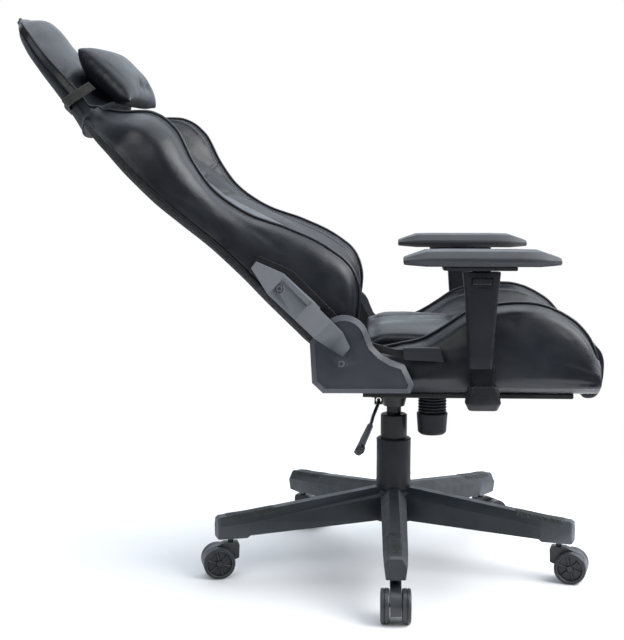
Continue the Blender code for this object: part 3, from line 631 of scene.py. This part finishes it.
def domed_rings(rings, dome, along):
    """The rings with both ends closed by shrinking rings that bulge outward."""
    rings = list(rings)
    outward = np.array(along)
    first, last = rings[0], rings[-1]
    for share, height in CAP_RINGS:
        rings.insert(0, first.mean(0) + (first - first.mean(0)) * share - outward * dome * height)
        rings.append(last.mean(0) + (last - last.mean(0)) * share + outward * dome * height)
    return np.array(rings)


# --- puffing up as cloth ---
def simulate(piece, held, pressure, frames, stiffness, bending):
    """Where a mesh's points are after so many frames as cloth under pressure, without gravity."""
    group = piece.vertex_groups.new(name="held")
    group.add([int(i) for i in np.flatnonzero(held)], 1.0, "REPLACE")
    cloth = piece.modifiers.new("cloth", "CLOTH")
    settings = cloth.settings
    settings.quality = 4
    settings.mass = 0.3
    settings.tension_stiffness = stiffness
    settings.compression_stiffness = stiffness
    settings.shear_stiffness = stiffness / 2
    settings.bending_stiffness = bending
    settings.use_pressure = True
    settings.uniform_pressure_force = pressure
    settings.vertex_group_mass = group.name
    settings.effector_weights.gravity = 0.0
    cloth.point_cache.frame_start = 1
    cloth.point_cache.frame_end = frames
    for step in range(1, frames + 1):
        bpy.context.scene.frame_set(step)
    evaluated = piece.evaluated_get(bpy.context.evaluated_depsgraph_get())
    blown = coordinates(evaluated.data)
    piece.modifiers.clear()
    piece.vertex_groups.clear()
    bpy.context.scene.frame_set(1)
    return blown


def puff(piece, held, pressure, inset, proud, frames=20, stiffness=18.0, bending=0.6):
    """Blows a closed mesh up as cloth between its held points, and keeps it near where it was drawn."""
    mesh = piece.data
    drawn = coordinates(mesh)
    outward = normals(mesh)
    set_coordinates(mesh, drawn - outward * inset * ~held[:, None])
    move = simulate(piece, held, pressure, frames, stiffness, bending) - drawn
    height = (move * outward).sum(1)
    limited = np.where(height > 0, proud * np.tanh(height / proud), np.maximum(height, -inset))
    set_coordinates(mesh, drawn + move + outward * (limited - height)[:, None])


# --- seams, piping and stitches ---
SEAM_STEP = 0.0015
SEAM_REACH = 5          # a seam pulls at the mesh out to this many of its widths
PUCKER_SPREAD = 2.5     # puckers fade over this many widths
PUCKER_SCALE = 95.0

PIPING_RADIUS = 0.0024
PIPING_SINK = 0.2       # the share of its radius that a welt is sunk in its seam
PIPING_STEP = 0.004
PIPING_SIDES = 10

STITCH_PITCH = 0.0052
STITCH_LENGTH = 0.0036
STITCH_RADIUS = 0.00045
STITCH_LIFT = 0.0002
STITCH_SIDES = 5
STITCH_RINGS = ((-0.5, 0.3), (-0.35, 1.0), (0.35, 1.0), (0.5, 0.3))     # shares of its length and radius


def press_seams(piece, rails, depth=0.0016, width=0.0032, pucker=0.0005):
    """Pulls a mesh in along its seams, with small puckers beside them."""
    mesh = piece.data
    points, outward = coordinates(mesh), normals(mesh)
    samples = np.concatenate([even_path(rail, SEAM_STEP) for rail in rails])
    tree = KDTree(len(samples))
    for i, sample in enumerate(samples):
        tree.insert(sample, i)
    tree.balance()
    for i, point in enumerate(points):
        away = tree.find(point)[2]
        if away <= SEAM_REACH * width:
            valley = depth * math.exp(-(away / width) ** 2)
            fade = math.exp(-(away / (PUCKER_SPREAD * width)) ** 2)
            points[i] -= outward[i] * (valley + pucker * fade * noise.noise(Vector(point) * PUCKER_SCALE))
    set_coordinates(mesh, points)


def relax_noise(piece, height, scale, seed):
    """Slow unevenness, as in hand-fitted covers."""
    mesh = piece.data
    points, outward = coordinates(mesh), normals(mesh)
    shift = Vector((seed, 2 * seed, 3 * seed))
    for i, point in enumerate(points):
        points[i] += outward[i] * height * noise.noise(Vector(point) * scale + shift)
    set_coordinates(mesh, points)


def onto(surface, points, lift=0.0):
    """Points moved to the nearest place on a surface, and its normals there."""
    placed, facing = [], []
    for point in points:
        spot, normal, _, _ = surface.find_nearest(Vector(point))
        placed.append(np.array(spot + normal * lift))
        facing.append(np.array(normal))
    return np.array(placed), np.array(facing)


def tube_points(path, radius, sides):
    """Rings of points round a path, half as wide at its ends."""
    tangents = np.gradient(path, axis=0)
    tangents /= np.linalg.norm(tangents, axis=1)[:, None]
    side = np.cross(tangents[0], (0.0, 0.0, 1.0))
    points = []
    for i, (place, tangent) in enumerate(zip(path, tangents)):
        side = side - tangent * (side @ tangent)
        side /= np.linalg.norm(side)
        other = np.cross(tangent, side)
        size = radius if 0 < i < len(path) - 1 else 0.5 * radius
        for k in range(sides):
            turn = 2 * math.pi * k / sides
            points.append(place + size * (math.cos(turn) * side + math.sin(turn) * other))
    return points


def piping(name, rail, surface, body):
    """A piped welt that stands in a seam."""
    path, _ = onto(surface, even_path(rail, PIPING_STEP))
    centre, facing = onto(surface, path)
    path = smooth_path(centre + facing * PIPING_RADIUS * (1 - PIPING_SINK), 2)
    points = tube_points(path, PIPING_RADIUS, PIPING_SIDES)
    welt = make_piece(name, points, capped_faces(len(path), PIPING_SIDES), ["leather"])
    return place_piece(welt, body, "black_leather")


def stitch_points(centre, along, out):
    """One short rounded stitch."""
    across = np.cross(along, out)
    points = []
    for share, size in STITCH_RINGS:
        for k in range(STITCH_SIDES):
            turn = 2 * math.pi * k / STITCH_SIDES
            points.append(centre + along * STITCH_LENGTH * share
                          + STITCH_RADIUS * size * (math.cos(turn) * out + math.sin(turn) * across))
    return points


def stitches(name, rails, surface, body, offsets=(0.0,)):
    """Rows of stitches along seams, each row this far to the side."""
    one = capped_faces(len(STITCH_RINGS), STITCH_SIDES)
    points, faces = [], []
    for rail, offset in product(rails, offsets):
        path, facing = onto(surface, even_path(rail, STITCH_PITCH))
        along = np.gradient(path, axis=0)
        along /= np.linalg.norm(along, axis=1)[:, None]
        shifted, facing = onto(surface, path + np.cross(facing, along) * offset, STITCH_LIFT)
        for centre, direction, out in zip(shifted[1:-1], along[1:-1], facing[1:-1]):
            start = len(points)
            points += stitch_points(centre, direction, out)
            faces += [tuple(start + i for i in face) for face in one]
    return place_piece(make_piece(name, points, faces, ["thread"]), body, "black_leather")


# --- soft parts ---
# Seams are given as corners of the CAD's section, counted from its low corner. The stretches between
# them are numbered in the same order, and so are the rails that soft_loft returns.
SIDE_SEAMS = [0, 2, 5, 6, 7]        # of a bolster and of a wing
SIDE_FLAT = [0, 4]                  # the underside and the side that faces the middle
CREST, TOPSTITCH = 2, 3             # the rails with the piping and with the stitches
PANEL_FLAT = [0, 1, 3]              # all but the face that is sat on or leaned on
PANEL_EDGES = slice(2, 4)           # that face's left and right rails

COVER_FOLD = 0.68                   # a seam crosses each wing at this share of its length

CHANNELS_ALONG = (0.3, 0.7)         # shares of the cushion's width
CHANNELS_ACROSS = (0.42, 0.72)      # shares of the cushion's length
CHANNEL_RISE = 0.02


def soft_loft(name, node, axes, seams, flat, body, rear_fabric=False, spacing=0.0062, dome=0.004,
              pressure=5.0, inset=0.004, proud=0.003):
    """A padded part through a CAD node's sections. Returns it with the rails along its seams."""
    rings, columns = dense_rings(node, axes, seams, spacing)
    rings = domed_rings(rings, dome, axes.along)
    rows, size = rings.shape[:2]
    points = np.concatenate([rings.reshape(-1, 3), [rings[0].mean(0), rings[-1].mean(0)]])
    looks = ["fabric", "leather"] if rear_fabric else ["leather"]
    look_of_ring = [0 if column < columns[1] else len(looks) - 1 for column in range(size)]
    look_of_face = look_of_ring * (rows - 1) + [0] * (2 * size)
    piece = make_piece(name, points, fanned_faces(rows, size), looks, look_of_face)
    held = np.zeros((rows, size), bool)
    held[:, columns[:-1]] = True
    for stretch in flat:
        held[:, columns[stretch]:columns[stretch + 1]] = True
    domed = len(CAP_RINGS)
    held[:domed + 1] = True
    held[-domed - 1:] = True
    puff(piece, np.append(held.ravel(), [True, True]), pressure, inset, proud)
    puffed = coordinates(piece.data)[:-2].reshape(rings.shape)
    rails = [puffed[domed:rows - domed, column] for column in columns[:-1]]
    subdivide(piece)
    place_piece(piece, body, "black_leather", node)
    return piece, rails


def mirrored(piece, node=None):
    """The left twin of a right piece, in place of a CAD node if one is named."""
    mesh = piece.data.copy()
    mesh.transform(Matrix.Translation((0.0, 2 * COLUMN.y, 0.0)) @ Matrix.Diagonal((1.0, -1.0, 1.0, 1.0)))
    mesh.flip_normals()
    twin = add_object(piece.name.replace("_right", "_left"), mesh)
    return place_piece(twin, piece["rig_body"], piece["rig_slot"], node)


def seat_bolsters():
    bolster, rails = soft_loft("bolster_leather_right", "seat_bolster_right", SEAT_SIDE_AXES, SIDE_SEAMS,
                               SIDE_FLAT, "seat")
    press_seams(bolster, rails[1:])
    relax_noise(bolster, 0.0012, 14.0, 1.0)
    surface = surface_of(bolster)
    welt = piping("bolster_piping_right", rails[CREST], surface, "seat")
    thread = stitches("bolster_stitches_right", [rails[TOPSTITCH]], surface, "seat", (0.004, -0.004))
    for piece in (bolster, mirrored(bolster, "seat_bolster_left")):
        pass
    mirrored(welt)
    mirrored(thread)


def cushion_point(edges, along, across):
    """A point above the cushion, by shares of the way along both edges and from one to the other."""
    first, second = (smooth_rows(edge, np.linspace(0, 1, len(edge)), [along])[0] for edge in edges)
    return first * (1 - across) + second * across + (0.0, 0.0, CHANNEL_RISE)


def seat_middle():
    """The cushion, with quilted channels along and across it."""
    cushion, rails = soft_loft("cushion_leather", "seat_cushion", SEAT_AXES, [0, 1, 2, 6], PANEL_FLAT, "seat",
                               spacing=0.008, pressure=6.0, inset=0.003, proud=0.006)
    edges = rails[PANEL_EDGES]
    channels = [[cushion_point(edges, along, across) for along in np.linspace(0.03, 1, 12)]
                for across in CHANNELS_ALONG]
    channels += [[cushion_point(edges, along, across) for across in np.linspace(0.02, 0.98, 10)]
                 for along in CHANNELS_ACROSS]
    surface = surface_of(cushion)
    channels = [onto(surface, even_path(channel, 0.01))[0] for channel in channels]
    press_seams(cushion, channels + edges, 0.0035, 0.0045)
    relax_noise(cushion, 0.0012, 12.0, 2.0)
    stitches("cushion_stitches", channels, surface_of(cushion), "seat", (0.0022, -0.0022))


def seat_front():
    roll, _ = soft_loft("front_roll_leather", "seat_front_roll", ROLL_AXES, [0, 21], [1], "seat",
                        inset=0.003, dome=0.001)
    relax_noise(roll, 0.0010, 16.0, 3.0)


def back_wings():
    """Both wings of the backrest. Returns them with the right one's rails."""
    wing, rails = soft_loft("wing_leather_right", "back_wing_right", WING_AXES, SIDE_SEAMS, SIDE_FLAT,
                            "backrest", rear_fabric=True, proud=0.0015)
    fold_row = round(len(rails[CREST]) * COVER_FOLD)
    fold = [rail[fold_row] for rail in rails[CREST:]]
    press_seams(wing, rails[1:] + [onto(surface_of(wing), even_path(fold, 0.01))[0]])
    relax_noise(wing, 0.0014, 12.0, 4.0)
    surface = surface_of(wing)
    mirrored(stitches("wing_stitches_right", [rails[TOPSTITCH]], surface, "backrest", (0.004, -0.004)))
    pair = [wing, mirrored(wing, "back_wing_left")]
    return pair, rails


def back_middle():
    panel, rails = soft_loft("back_panel_leather", "back_panel", BACK_AXES, [0, 1, 2, 5], PANEL_FLAT,
                             "backrest", rear_fabric=True, spacing=0.008, pressure=6.0, proud=0.006)
    press_seams(panel, rails[PANEL_EDGES], 0.003, 0.005)
    relax_noise(panel, 0.0014, 12.0, 6.0)


def back_head():
    """The head part. Returns it with its left and right seams."""
    head, rails = soft_loft("head_leather", "back_head", BACK_AXES, [4, 7], [], "backrest",
                            inset=0.003, proud=0.004, dome=0.006)
    press_seams(head, rails)
    relax_noise(head, 0.0012, 12.0, 5.0)
    return head, rails


def other_side(points):
    """Points mirrored in the chair's middle plane."""
    return np.asarray(points) * (1.0, -1.0, 1.0) + (0.0, 2 * COLUMN.y, 0.0)


def back_piping(wings, crest, head, head_seam):
    """One welt up a wing's crest, round the head part, and down the other wing."""
    half = np.concatenate([crest, head_seam[2:]])
    loop = np.concatenate([half, other_side(half)[::-1]])
    piping("back_piping", loop, surface_of(*wings, head), "backrest")


COVER_ROWS = 90
COVER_STEPS = 30            # from the middle of the rear cover to its rim
COVER_CROWN = 0.0035
COVER_WRAP = 0.0120         # the rim turns forward by this much
COVER_OVERHANG = 0.0010
COVER_LAYERS = ((0.0022, 0.0), (0.0010, 0.0010))        # behind the wings, and in from the outer rim
COVER_SEAMS_IN = (4, 7)     # columns in from the rim


def rear_cover():
    """One fabric sheet over the rear of the backrest, seamed down the middle and twice round its rim."""
    stations, rings = sections("back_wing_right", WING_AXES)
    fine = np.linspace(stations[0], stations[-1], COVER_ROWS)
    outline = smooth_rows(rings[:, 1:3].reshape(len(stations), -1), stations, fine)
    shares = np.sin(np.linspace(-1, 1, 2 * COVER_STEPS + 1) * math.pi / 2)
    points = []
    for lift, tuck in COVER_LAYERS:
        for station, (_, rear, side, _) in zip(fine, outline):
            crown = COVER_CROWN * math.sin(math.pi * (station - fine[0]) / (fine[-1] - fine[0]))
            for share in shares:
                rise = rear - lift - crown * (1 - share ** 2) + COVER_WRAP * abs(share) ** 40
                points.append(in_axes(BACK_AXES, station, (side + COVER_OVERHANG - tuck) * share, rise))
    columns = len(shares)
    cover = make_piece("rear_cover", points, sheet_faces(COVER_ROWS, columns), ["fabric"])
    outer = coordinates(cover.data)[:COVER_ROWS * columns].reshape(COVER_ROWS, columns, 3)[2:-2]
    middle = [outer[:, COVER_STEPS]]
    sides = [outer[:, column] for column in COVER_SEAMS_IN]
    sides += [outer[:, columns - 1 - column] for column in reversed(COVER_SEAMS_IN)]
    press_seams(cover, middle + sides, 0.0012, 0.0030, 0.0006)
    relax_noise(cover, 0.0008, 14.0, 7.0)
    place_piece(cover, "backrest", "black_leather")
    stitches("rear_cover_stitches", sides, surface_of(cover), "backrest")


def backrest():
    """The backrest's soft parts. Returns the head part."""
    wings, wing_rails = back_wings()
    back_middle()
    head, head_rails = back_head()
    back_piping(wings, wing_rails[CREST], head, head_rails[1])
    rear_cover()
    return head


PILLOW_ROWS = 26
PILLOW_COLUMNS = 50
PILLOW_HALF_WIDTH = 0.152
PILLOW_HALF_HEIGHT = 0.076
PILLOW_LENS = 0.026         # half its depth before it is blown up
PILLOW_PULL = 0.05          # the share by which its edges' middles are drawn in
PILLOW_SAG = 0.014          # below the CAD pillow
PILLOW_ABOVE = 0.002
PILLOW_PROUD = 0.004        # in front of the CAD pillow


def pillow_point(face, row, column):
    """A point of one of the sewn panels, from the pillow's middle: up, to the left, and forward."""
    s, t = 2 * column / PILLOW_COLUMNS - 1, 2 * row / PILLOW_ROWS - 1
    up = PILLOW_HALF_HEIGHT * t * (1 - PILLOW_PULL * (1 - s * s) * abs(t) ** 3)
    left = PILLOW_HALF_WIDTH * s * (1 - PILLOW_PULL * (1 - t * t) * abs(s) ** 3)
    return up, left, face * PILLOW_LENS * math.sqrt((1 - s ** 6) * (1 - t ** 4))


def pillow_panels():
    """Points and faces of the rear and the front panel, which share the points of their rim."""
    points, faces = [], []
    index = {}
    for face in (-1, 1):
        for row, column in product(range(PILLOW_ROWS + 1), range(PILLOW_COLUMNS + 1)):
            on_rim = row in (0, PILLOW_ROWS) or column in (0, PILLOW_COLUMNS)
            if on_rim and face == 1:
                index[face, row, column] = index[-1, row, column]
            else:
                index[face, row, column] = len(points)
                points.append(pillow_point(face, row, column))
        for row, column in product(range(PILLOW_ROWS), range(PILLOW_COLUMNS)):
            faces.append([index[face, row + i, column + j] for i, j in ((0, 0), (0, 1), (1, 1), (1, 0))])
    return points, faces


def head_pillow():
    """Two panels sewn together round their edge and blown up, then set to the CAD pillow's size."""
    cad = measured(coordinates(frame["nodes"]["head_pillow"].data), BACK_AXES)
    low = cad.min(1) - (PILLOW_SAG, 0.0, 0.0)
    high = cad.max(1) + (PILLOW_ABOVE, 0.0, PILLOW_PROUD)
    points, faces = pillow_panels()
    points = [in_axes(BACK_AXES, *((low + high) / 2 + point)) for point in points]
    pillow = make_piece("pillow_leather", points, faces, ["leather"])
    puff(pillow, np.zeros(len(points), bool), 9.0, 0.0, 0.030, frames=24, stiffness=30.0, bending=0.15)
    blown = measured(coordinates(pillow.data), BACK_AXES).T
    scale = (high - low) / (blown.max(0) - blown.min(0))
    fitted = np.array([in_axes(BACK_AXES, *place) for place in low + (blown - blown.min(0)) * scale])
    set_coordinates(pillow.data, fitted)
    rim = rim_of(PILLOW_ROWS + 1, PILLOW_COLUMNS + 1)
    subdivide(pillow)
    press_seams(pillow, [fitted[rim + rim[:1]]], 0.0012, 0.003, 0.0012)
    place_piece(pillow, "backrest", "black_leather", "head_pillow")


BAND_SLOPE = 0.25           # the band drops this much for each unit that it goes forward
BAND_RIBS = 9
BAND_RIB_HEIGHT = 0.0003
BAND_THICKNESS = 0.0018
BAND_GAP = 0.0008
BAND_STEP = 0.004
BAND_REACH = 0.05           # how far outside its path the head part's surface is looked for


def band_line():
    """The CAD band's outer line seen from above its slope, and its lowest and highest level."""
    up, across, forward = measured(coordinates(frame["nodes"]["pillow_strap"].data), BACK_AXES)
    level = up + BAND_SLOPE * forward
    low, high = level.min(), level.max()
    lower = level < low + (high - low) * 0.25
    line = np.unique(np.round(np.stack([across[lower], forward[lower]], axis=1), 4), axis=0)
    middle = np.array((0.0, line[:, 1].max() + 0.001))
    turns = np.arctan2(*(line - middle).T[::-1])
    reach = np.linalg.norm(line - middle, axis=1)
    outer = [line[i] for i in np.argsort(turns)
             if reach[i] >= reach[np.abs(turns - turns[i]) < 0.03].max() - 0.000001]
    return np.array(outer), low, high


def band_profile(width):
    """The ribbed strip's section: pairs of a place across it and a height off its middle."""
    steps = 4 * BAND_RIBS
    profile = []
    for k in range(steps + 1):
        share = k / steps
        edge = math.sqrt(max(0.0, 1 - (2 * share - 1) ** 8))
        relief = BAND_RIB_HEIGHT * math.cos(2 * math.pi * BAND_RIBS * share)
        profile.append((share * width, (BAND_THICKNESS / 2 + relief) * edge))
    return profile + [(place, -rise) for place, rise in profile[-2:0:-1]]


def pillow_band(head):
    """The pillow's elastic band: a ribbed strip round the head part, just off its surface."""
    line, low, high = band_line()
    path = even_path(line, BAND_STEP)
    tangent = np.gradient(path, axis=0)
    tangent /= np.linalg.norm(tangent, axis=1)[:, None]
    outward = np.stack([tangent[:, 1], -tangent[:, 0]], axis=1)
    if outward[0] @ path[0] < 0:
        outward = -outward
    surface = surface_of(head)
    off = []
    for spot, out in zip(path, outward):
        level = (low + high) / 2 - BAND_SLOPE * spot[1]
        away = LEFTWARD * out[0] + BACK_FORWARD * out[1]
        start = in_axes(BACK_AXES, level, *spot) + away * BAND_REACH
        hit = surface.ray_cast(start, -away)[0]
        rise = (hit - start).dot(away) + BAND_REACH if hit else -BAND_REACH
        off.append(max(0.0, rise + BAND_THICKNESS + BAND_GAP))
    off = smooth_path(np.array(off), 6)
    profile = band_profile(high - low)
    points = []
    for spot, out, lift in zip(path, outward, off):
        for place, rise in profile:
            across, forward = spot + out * (rise + lift - BAND_THICKNESS / 2)
            points.append(in_axes(BACK_AXES, low + place - BAND_SLOPE * forward, across, forward))
    band = make_piece("pillow_band", points, capped_faces(len(path), len(profile)), ["elastic"])
    place_piece(band, "backrest", "elastic_strap", "pillow_strap")


# --- hard parts ---
LOOK_NODES = {          # by how the nodes' names start; the longest start that fits counts
    "base_nylon": ("star_base",),
    "black_steel": ("gas_cylinder", "gas_piston", "mechanism_housing", "seat_plate", "recliner_plate",
                    "recline_lever", "back_arm", "armrest_bracket"),
    "bright_steel": ("gas_lever_rod",),
    "grey_plastic": ("gas_lever_grip", "side_cover", "bracket_cover"),
    "black_plastic": ("column_sleeve", "tension_barrel", "tension_knob", "recline_lever_grip",
                      "armrest_sleeve", "armrest_plate"),
    "gloss_plastic": ("armrest_stem", "armrest_button"),
    "pad_plastic": ("armrest_pad",),
    "seat_board": ("seat_board",),
    "caster_nylon": ("caster_hood", "caster_wheel"),
}
SMALL_ROUNDING = 0.0006
ROUNDING = {"armrest_pad": 0.0016, "star_base": 0.0022, "side_cover": 0.0012, "bracket_cover": 0.0008,
            "armrest_sleeve": 0.0008, "caster_hood": 0.0012, "recline_lever_grip": 0.0012,
            "armrest_stem": 0.0030}
ROUNDED_ANGLE = 28                          # degrees between the faces of an edge that gets rounded
SHALLOW_ANGLES = {"bracket_cover": 12}      # where the facets meet at less


def finish_nodes():
    """Gives every CAD node its material, and the hard ones rounded edges."""
    look_of = {start: look for look, starts in LOOK_NODES.items() for start in starts}
    for name, node in frame["nodes"].items():
        prefix = max((start for start in look_of if name.startswith(start)), key=len, default=None)
        node.data.materials.clear()
        node.data.materials.append(LOOKS[look_of.get(prefix, "leather")])
        if prefix is None:
            continue
        weld = node.modifiers.new("weld", "WELD")
        weld.merge_threshold = 0.00002
        round_edges = node.modifiers.new("round", "BEVEL")
        round_edges.width = ROUNDING.get(prefix, SMALL_ROUNDING)
        round_edges.segments = 2
        round_edges.limit_method = "ANGLE"
        round_edges.angle_limit = math.radians(SHALLOW_ANGLES.get(prefix, ROUNDED_ANGLE))
        flat_faces = node.modifiers.new("flat_faces", "WEIGHTED_NORMAL")
        flat_faces.keep_sharp = True
        node.data.shade_smooth()


def turned(name, profile, centre, axis, look, body, slot, columns=24, height_at=None, node=None):
    """A solid turned round an axis, its profile given as (radius, height) pairs from end to end."""
    axis = Vector(axis).normalized()
    side = axis.orthogonal().normalized()
    other = axis.cross(side)
    rings = profile[1:-1]
    points = []
    for radius, height in rings:
        for column in range(columns):
            turn = 2 * math.pi * column / columns
            along = height_at(radius, height, turn) if height_at else height
            points.append(centre + axis * along + (side * math.cos(turn) + other * math.sin(turn)) * radius)
    points += [centre + axis * height for _, height in (profile[0], profile[-1])]
    piece = make_piece(name, points, fanned_faces(len(rings), columns), [look], sharp=42)
    return place_piece(piece, body, slot, node)


SPOKES = 6
SPOKE_HALF = 0.0013
SPOKE_HEIGHT = 0.0036
WEB_FROM = 0.0065           # radii of the recessed web
WEB_TO = 0.0220
WEB_FLOOR = -0.0060         # the web is above this, the back of the wheel below it
WHEEL_FACE = 0.008          # the wheel's outer face, from its middle
WHEEL_COLUMNS = 72
WHEEL_PROFILE = (
    # hub
    (0.0, -0.0012), (0.0034, -0.0010), (0.0052, -0.0012), (0.0062, -0.0030),
    # web
    (0.0070, -0.0052), (0.0095, -0.0055), (0.0120, -0.0056), (0.0145, -0.0056), (0.0170, -0.0056),
    (0.0195, -0.0055), (0.0215, -0.0052),
    # rim
    (0.0225, -0.0022), (0.0232, -0.0006), (0.0240, 0.0), (0.0262, -0.0002), (0.0266, -0.0008),
    (0.0270, -0.0003), (0.0284, -0.0006), (0.0295, -0.0016),
    # grooved tread and back
    (0.0300, -0.0032), (0.0300, -0.0058), (0.0292, -0.0064), (0.0292, -0.0072), (0.0300, -0.0078),
    (0.0300, -0.0128), (0.0294, -0.0146), (0.0280, -0.0158), (0.0260, -0.0160), (0.0150, -0.0160),
    (0.0060, -0.0160), (0.0, -0.0160))


def spoke_height(radius, height, turn):
    """Lifts the recessed web of a wheel where a spoke crosses it."""
    if not (WEB_FROM < radius < WEB_TO and height > WEB_FLOOR):
        return height
    sector = 2 * math.pi / SPOKES
    away = abs((turn + sector / 2) % sector - sector / 2) * radius
    share = max(0.0, min(1.0, 2.0 - away / SPOKE_HALF))
    return height + SPOKE_HEIGHT * share


def caster_wheels():
    """Twin wheels with a grooved tread and a spoked outer face."""
    for number in range(1, LEG_COUNT + 1):
        right, left = (centre_of(f"caster_wheel_{number}_{side}") for side in SIDES)
        for side, centre, away in (("right", right, right - left), ("left", left, left - right)):
            axis = away.normalized()
            node = f"caster_wheel_{number}_{side}"
            turned(f"wheel_{number}_{side}", WHEEL_PROFILE, centre + axis * WHEEL_FACE, axis, "caster_nylon",
                   node, "caster_nylon", WHEEL_COLUMNS, spoke_height, node)


FOOT_REST_FROM = 0.240      # column to the ends of a foot rest
FOOT_REST_TO = 0.336
FOOT_REST_HALF = 0.0165
FOOT_REST_PROUD = 0.0010
FOOT_REST_DEPTH = 0.0016    # how far it reaches into the leg
FOOT_REST_STEPS = (84, 28)
KNURL_HEIGHT = 0.00045
KNURL_ALONG = 1400          # radians per metre
KNURL_ACROSS = 14           # radians per half width
ABOVE_LEGS = 0.3


def foot_rest_lift(along, across, reach):
    """How far a foot rest stands off its leg: rounded toward its rim, with crossed grooves."""
    rim = (1 - abs(across) ** 10) * (1 - abs(2 * along - 1) ** 16)
    knurl = (math.sin(reach * KNURL_ALONG + across * KNURL_ACROSS)
             * math.sin(reach * KNURL_ALONG - across * KNURL_ACROSS))
    base = FOOT_REST_PROUD - FOOT_REST_DEPTH
    return FOOT_REST_DEPTH * rim + base + KNURL_HEIGHT * knurl * (1 - abs(across) ** 6) * rim


def foot_rests():
    """Textured inserts that wrap over the top of each leg."""
    surface = surface_of(frame["nodes"]["star_base"])
    long_steps, wide_steps = FOOT_REST_STEPS
    for leg in range(LEG_COUNT):
        heading = math.radians(-90 + 360 * leg / LEG_COUNT)
        outward = Vector((math.cos(heading), math.sin(heading), 0.0))
        sideways = Vector((-outward.y, outward.x, 0.0))
        top, bottom = [], []
        for i, j in product(range(long_steps + 1), range(wide_steps + 1)):
            along, across = i / long_steps, 2 * j / wide_steps - 1
            reach = FOOT_REST_FROM + (FOOT_REST_TO - FOOT_REST_FROM) * along
            over = COLUMN + outward * reach + sideways * across * FOOT_REST_HALF + UP * ABOVE_LEGS
            spot, facing, _, _ = surface.ray_cast(over, -UP)
            top.append(spot + facing * foot_rest_lift(along, across, reach))
            bottom.append(spot - facing * FOOT_REST_DEPTH)
        faces = sheet_faces(long_steps + 1, wide_steps + 1)
        insert = make_piece(f"foot_rest_{leg + 1}", top + bottom, faces, ["foot_rest"])
        place_piece(insert, "base", "black_plastic")


CAP_PROFILE = ((0.0, 0.0008), (0.0020, 0.0008), (0.0024, 0.0015), (0.0046, 0.0016), (0.0060, 0.0010),
               (0.0064, 0.0002), (0.0064, -0.0004), (0.0, -0.0004))
SIDE_COVER_CAP = COLUMN + Vector((-0.096, 0.0, 0.433))
BRACKET_COVER_CAP = RECLINE_AXIS + BACK_UP * 0.1425 + BACK_FORWARD * -0.0148


def screw_caps():
    """Round caps in the recesses of the side covers and of the backrest's bracket covers."""
    caps = (("side_cover", SIDE_COVER_CAP, "seat"), ("bracket_cover", BRACKET_COVER_CAP, "backrest"))
    for cover, place, body in caps:
        for side, outward in zip(SIDES, (RIGHTWARD, LEFTWARD)):
            surface = surface_of(frame["nodes"][f"{cover}_{side}"])
            outside = Vector((place.x, COLUMN.y, place.z)) + outward
            spot = surface.ray_cast(outside, -outward)[0]
            turned(f"{cover}_cap_{side}", CAP_PROFILE, spot, outward, "grey_plastic", body, "grey_plastic")


TIP_PROFILE = ((0.0, 0.0034), (0.0040, 0.0031), (0.0068, 0.0016), (0.0080, -0.0008), (0.0080, -0.0095),
               (0.0076, -0.0110), (0.0, -0.0110))
GRIP_END_POINTS = 16        # points that the CAD grip has at each end


def lever_tip():
    """The rubber tip on the end of the gas lever's grip."""
    points = coordinates(frame["nodes"]["gas_lever_grip"].data)
    away = np.linalg.norm(points - np.array(centre_of("gas_lever_rod")), axis=1)
    order = np.argsort(away)
    end, start = points[order[-GRIP_END_POINTS:]].mean(0), points[order[:GRIP_END_POINTS]].mean(0)
    turned("gas_lever_tip", TIP_PROFILE, Vector(end), Vector(end - start), "gloss_plastic", "gas_lever",
           "black_plastic")


def main():
    make_camera()
    make_world()
    make_lights()
    make_floor()
    seat_bolsters()
    seat_middle()
    seat_front()
    head = backrest()
    head_pillow()
    pillow_band(head)
    caster_wheels()
    foot_rests()
    screw_caps()
    lever_tip()
    finish_nodes()


main()
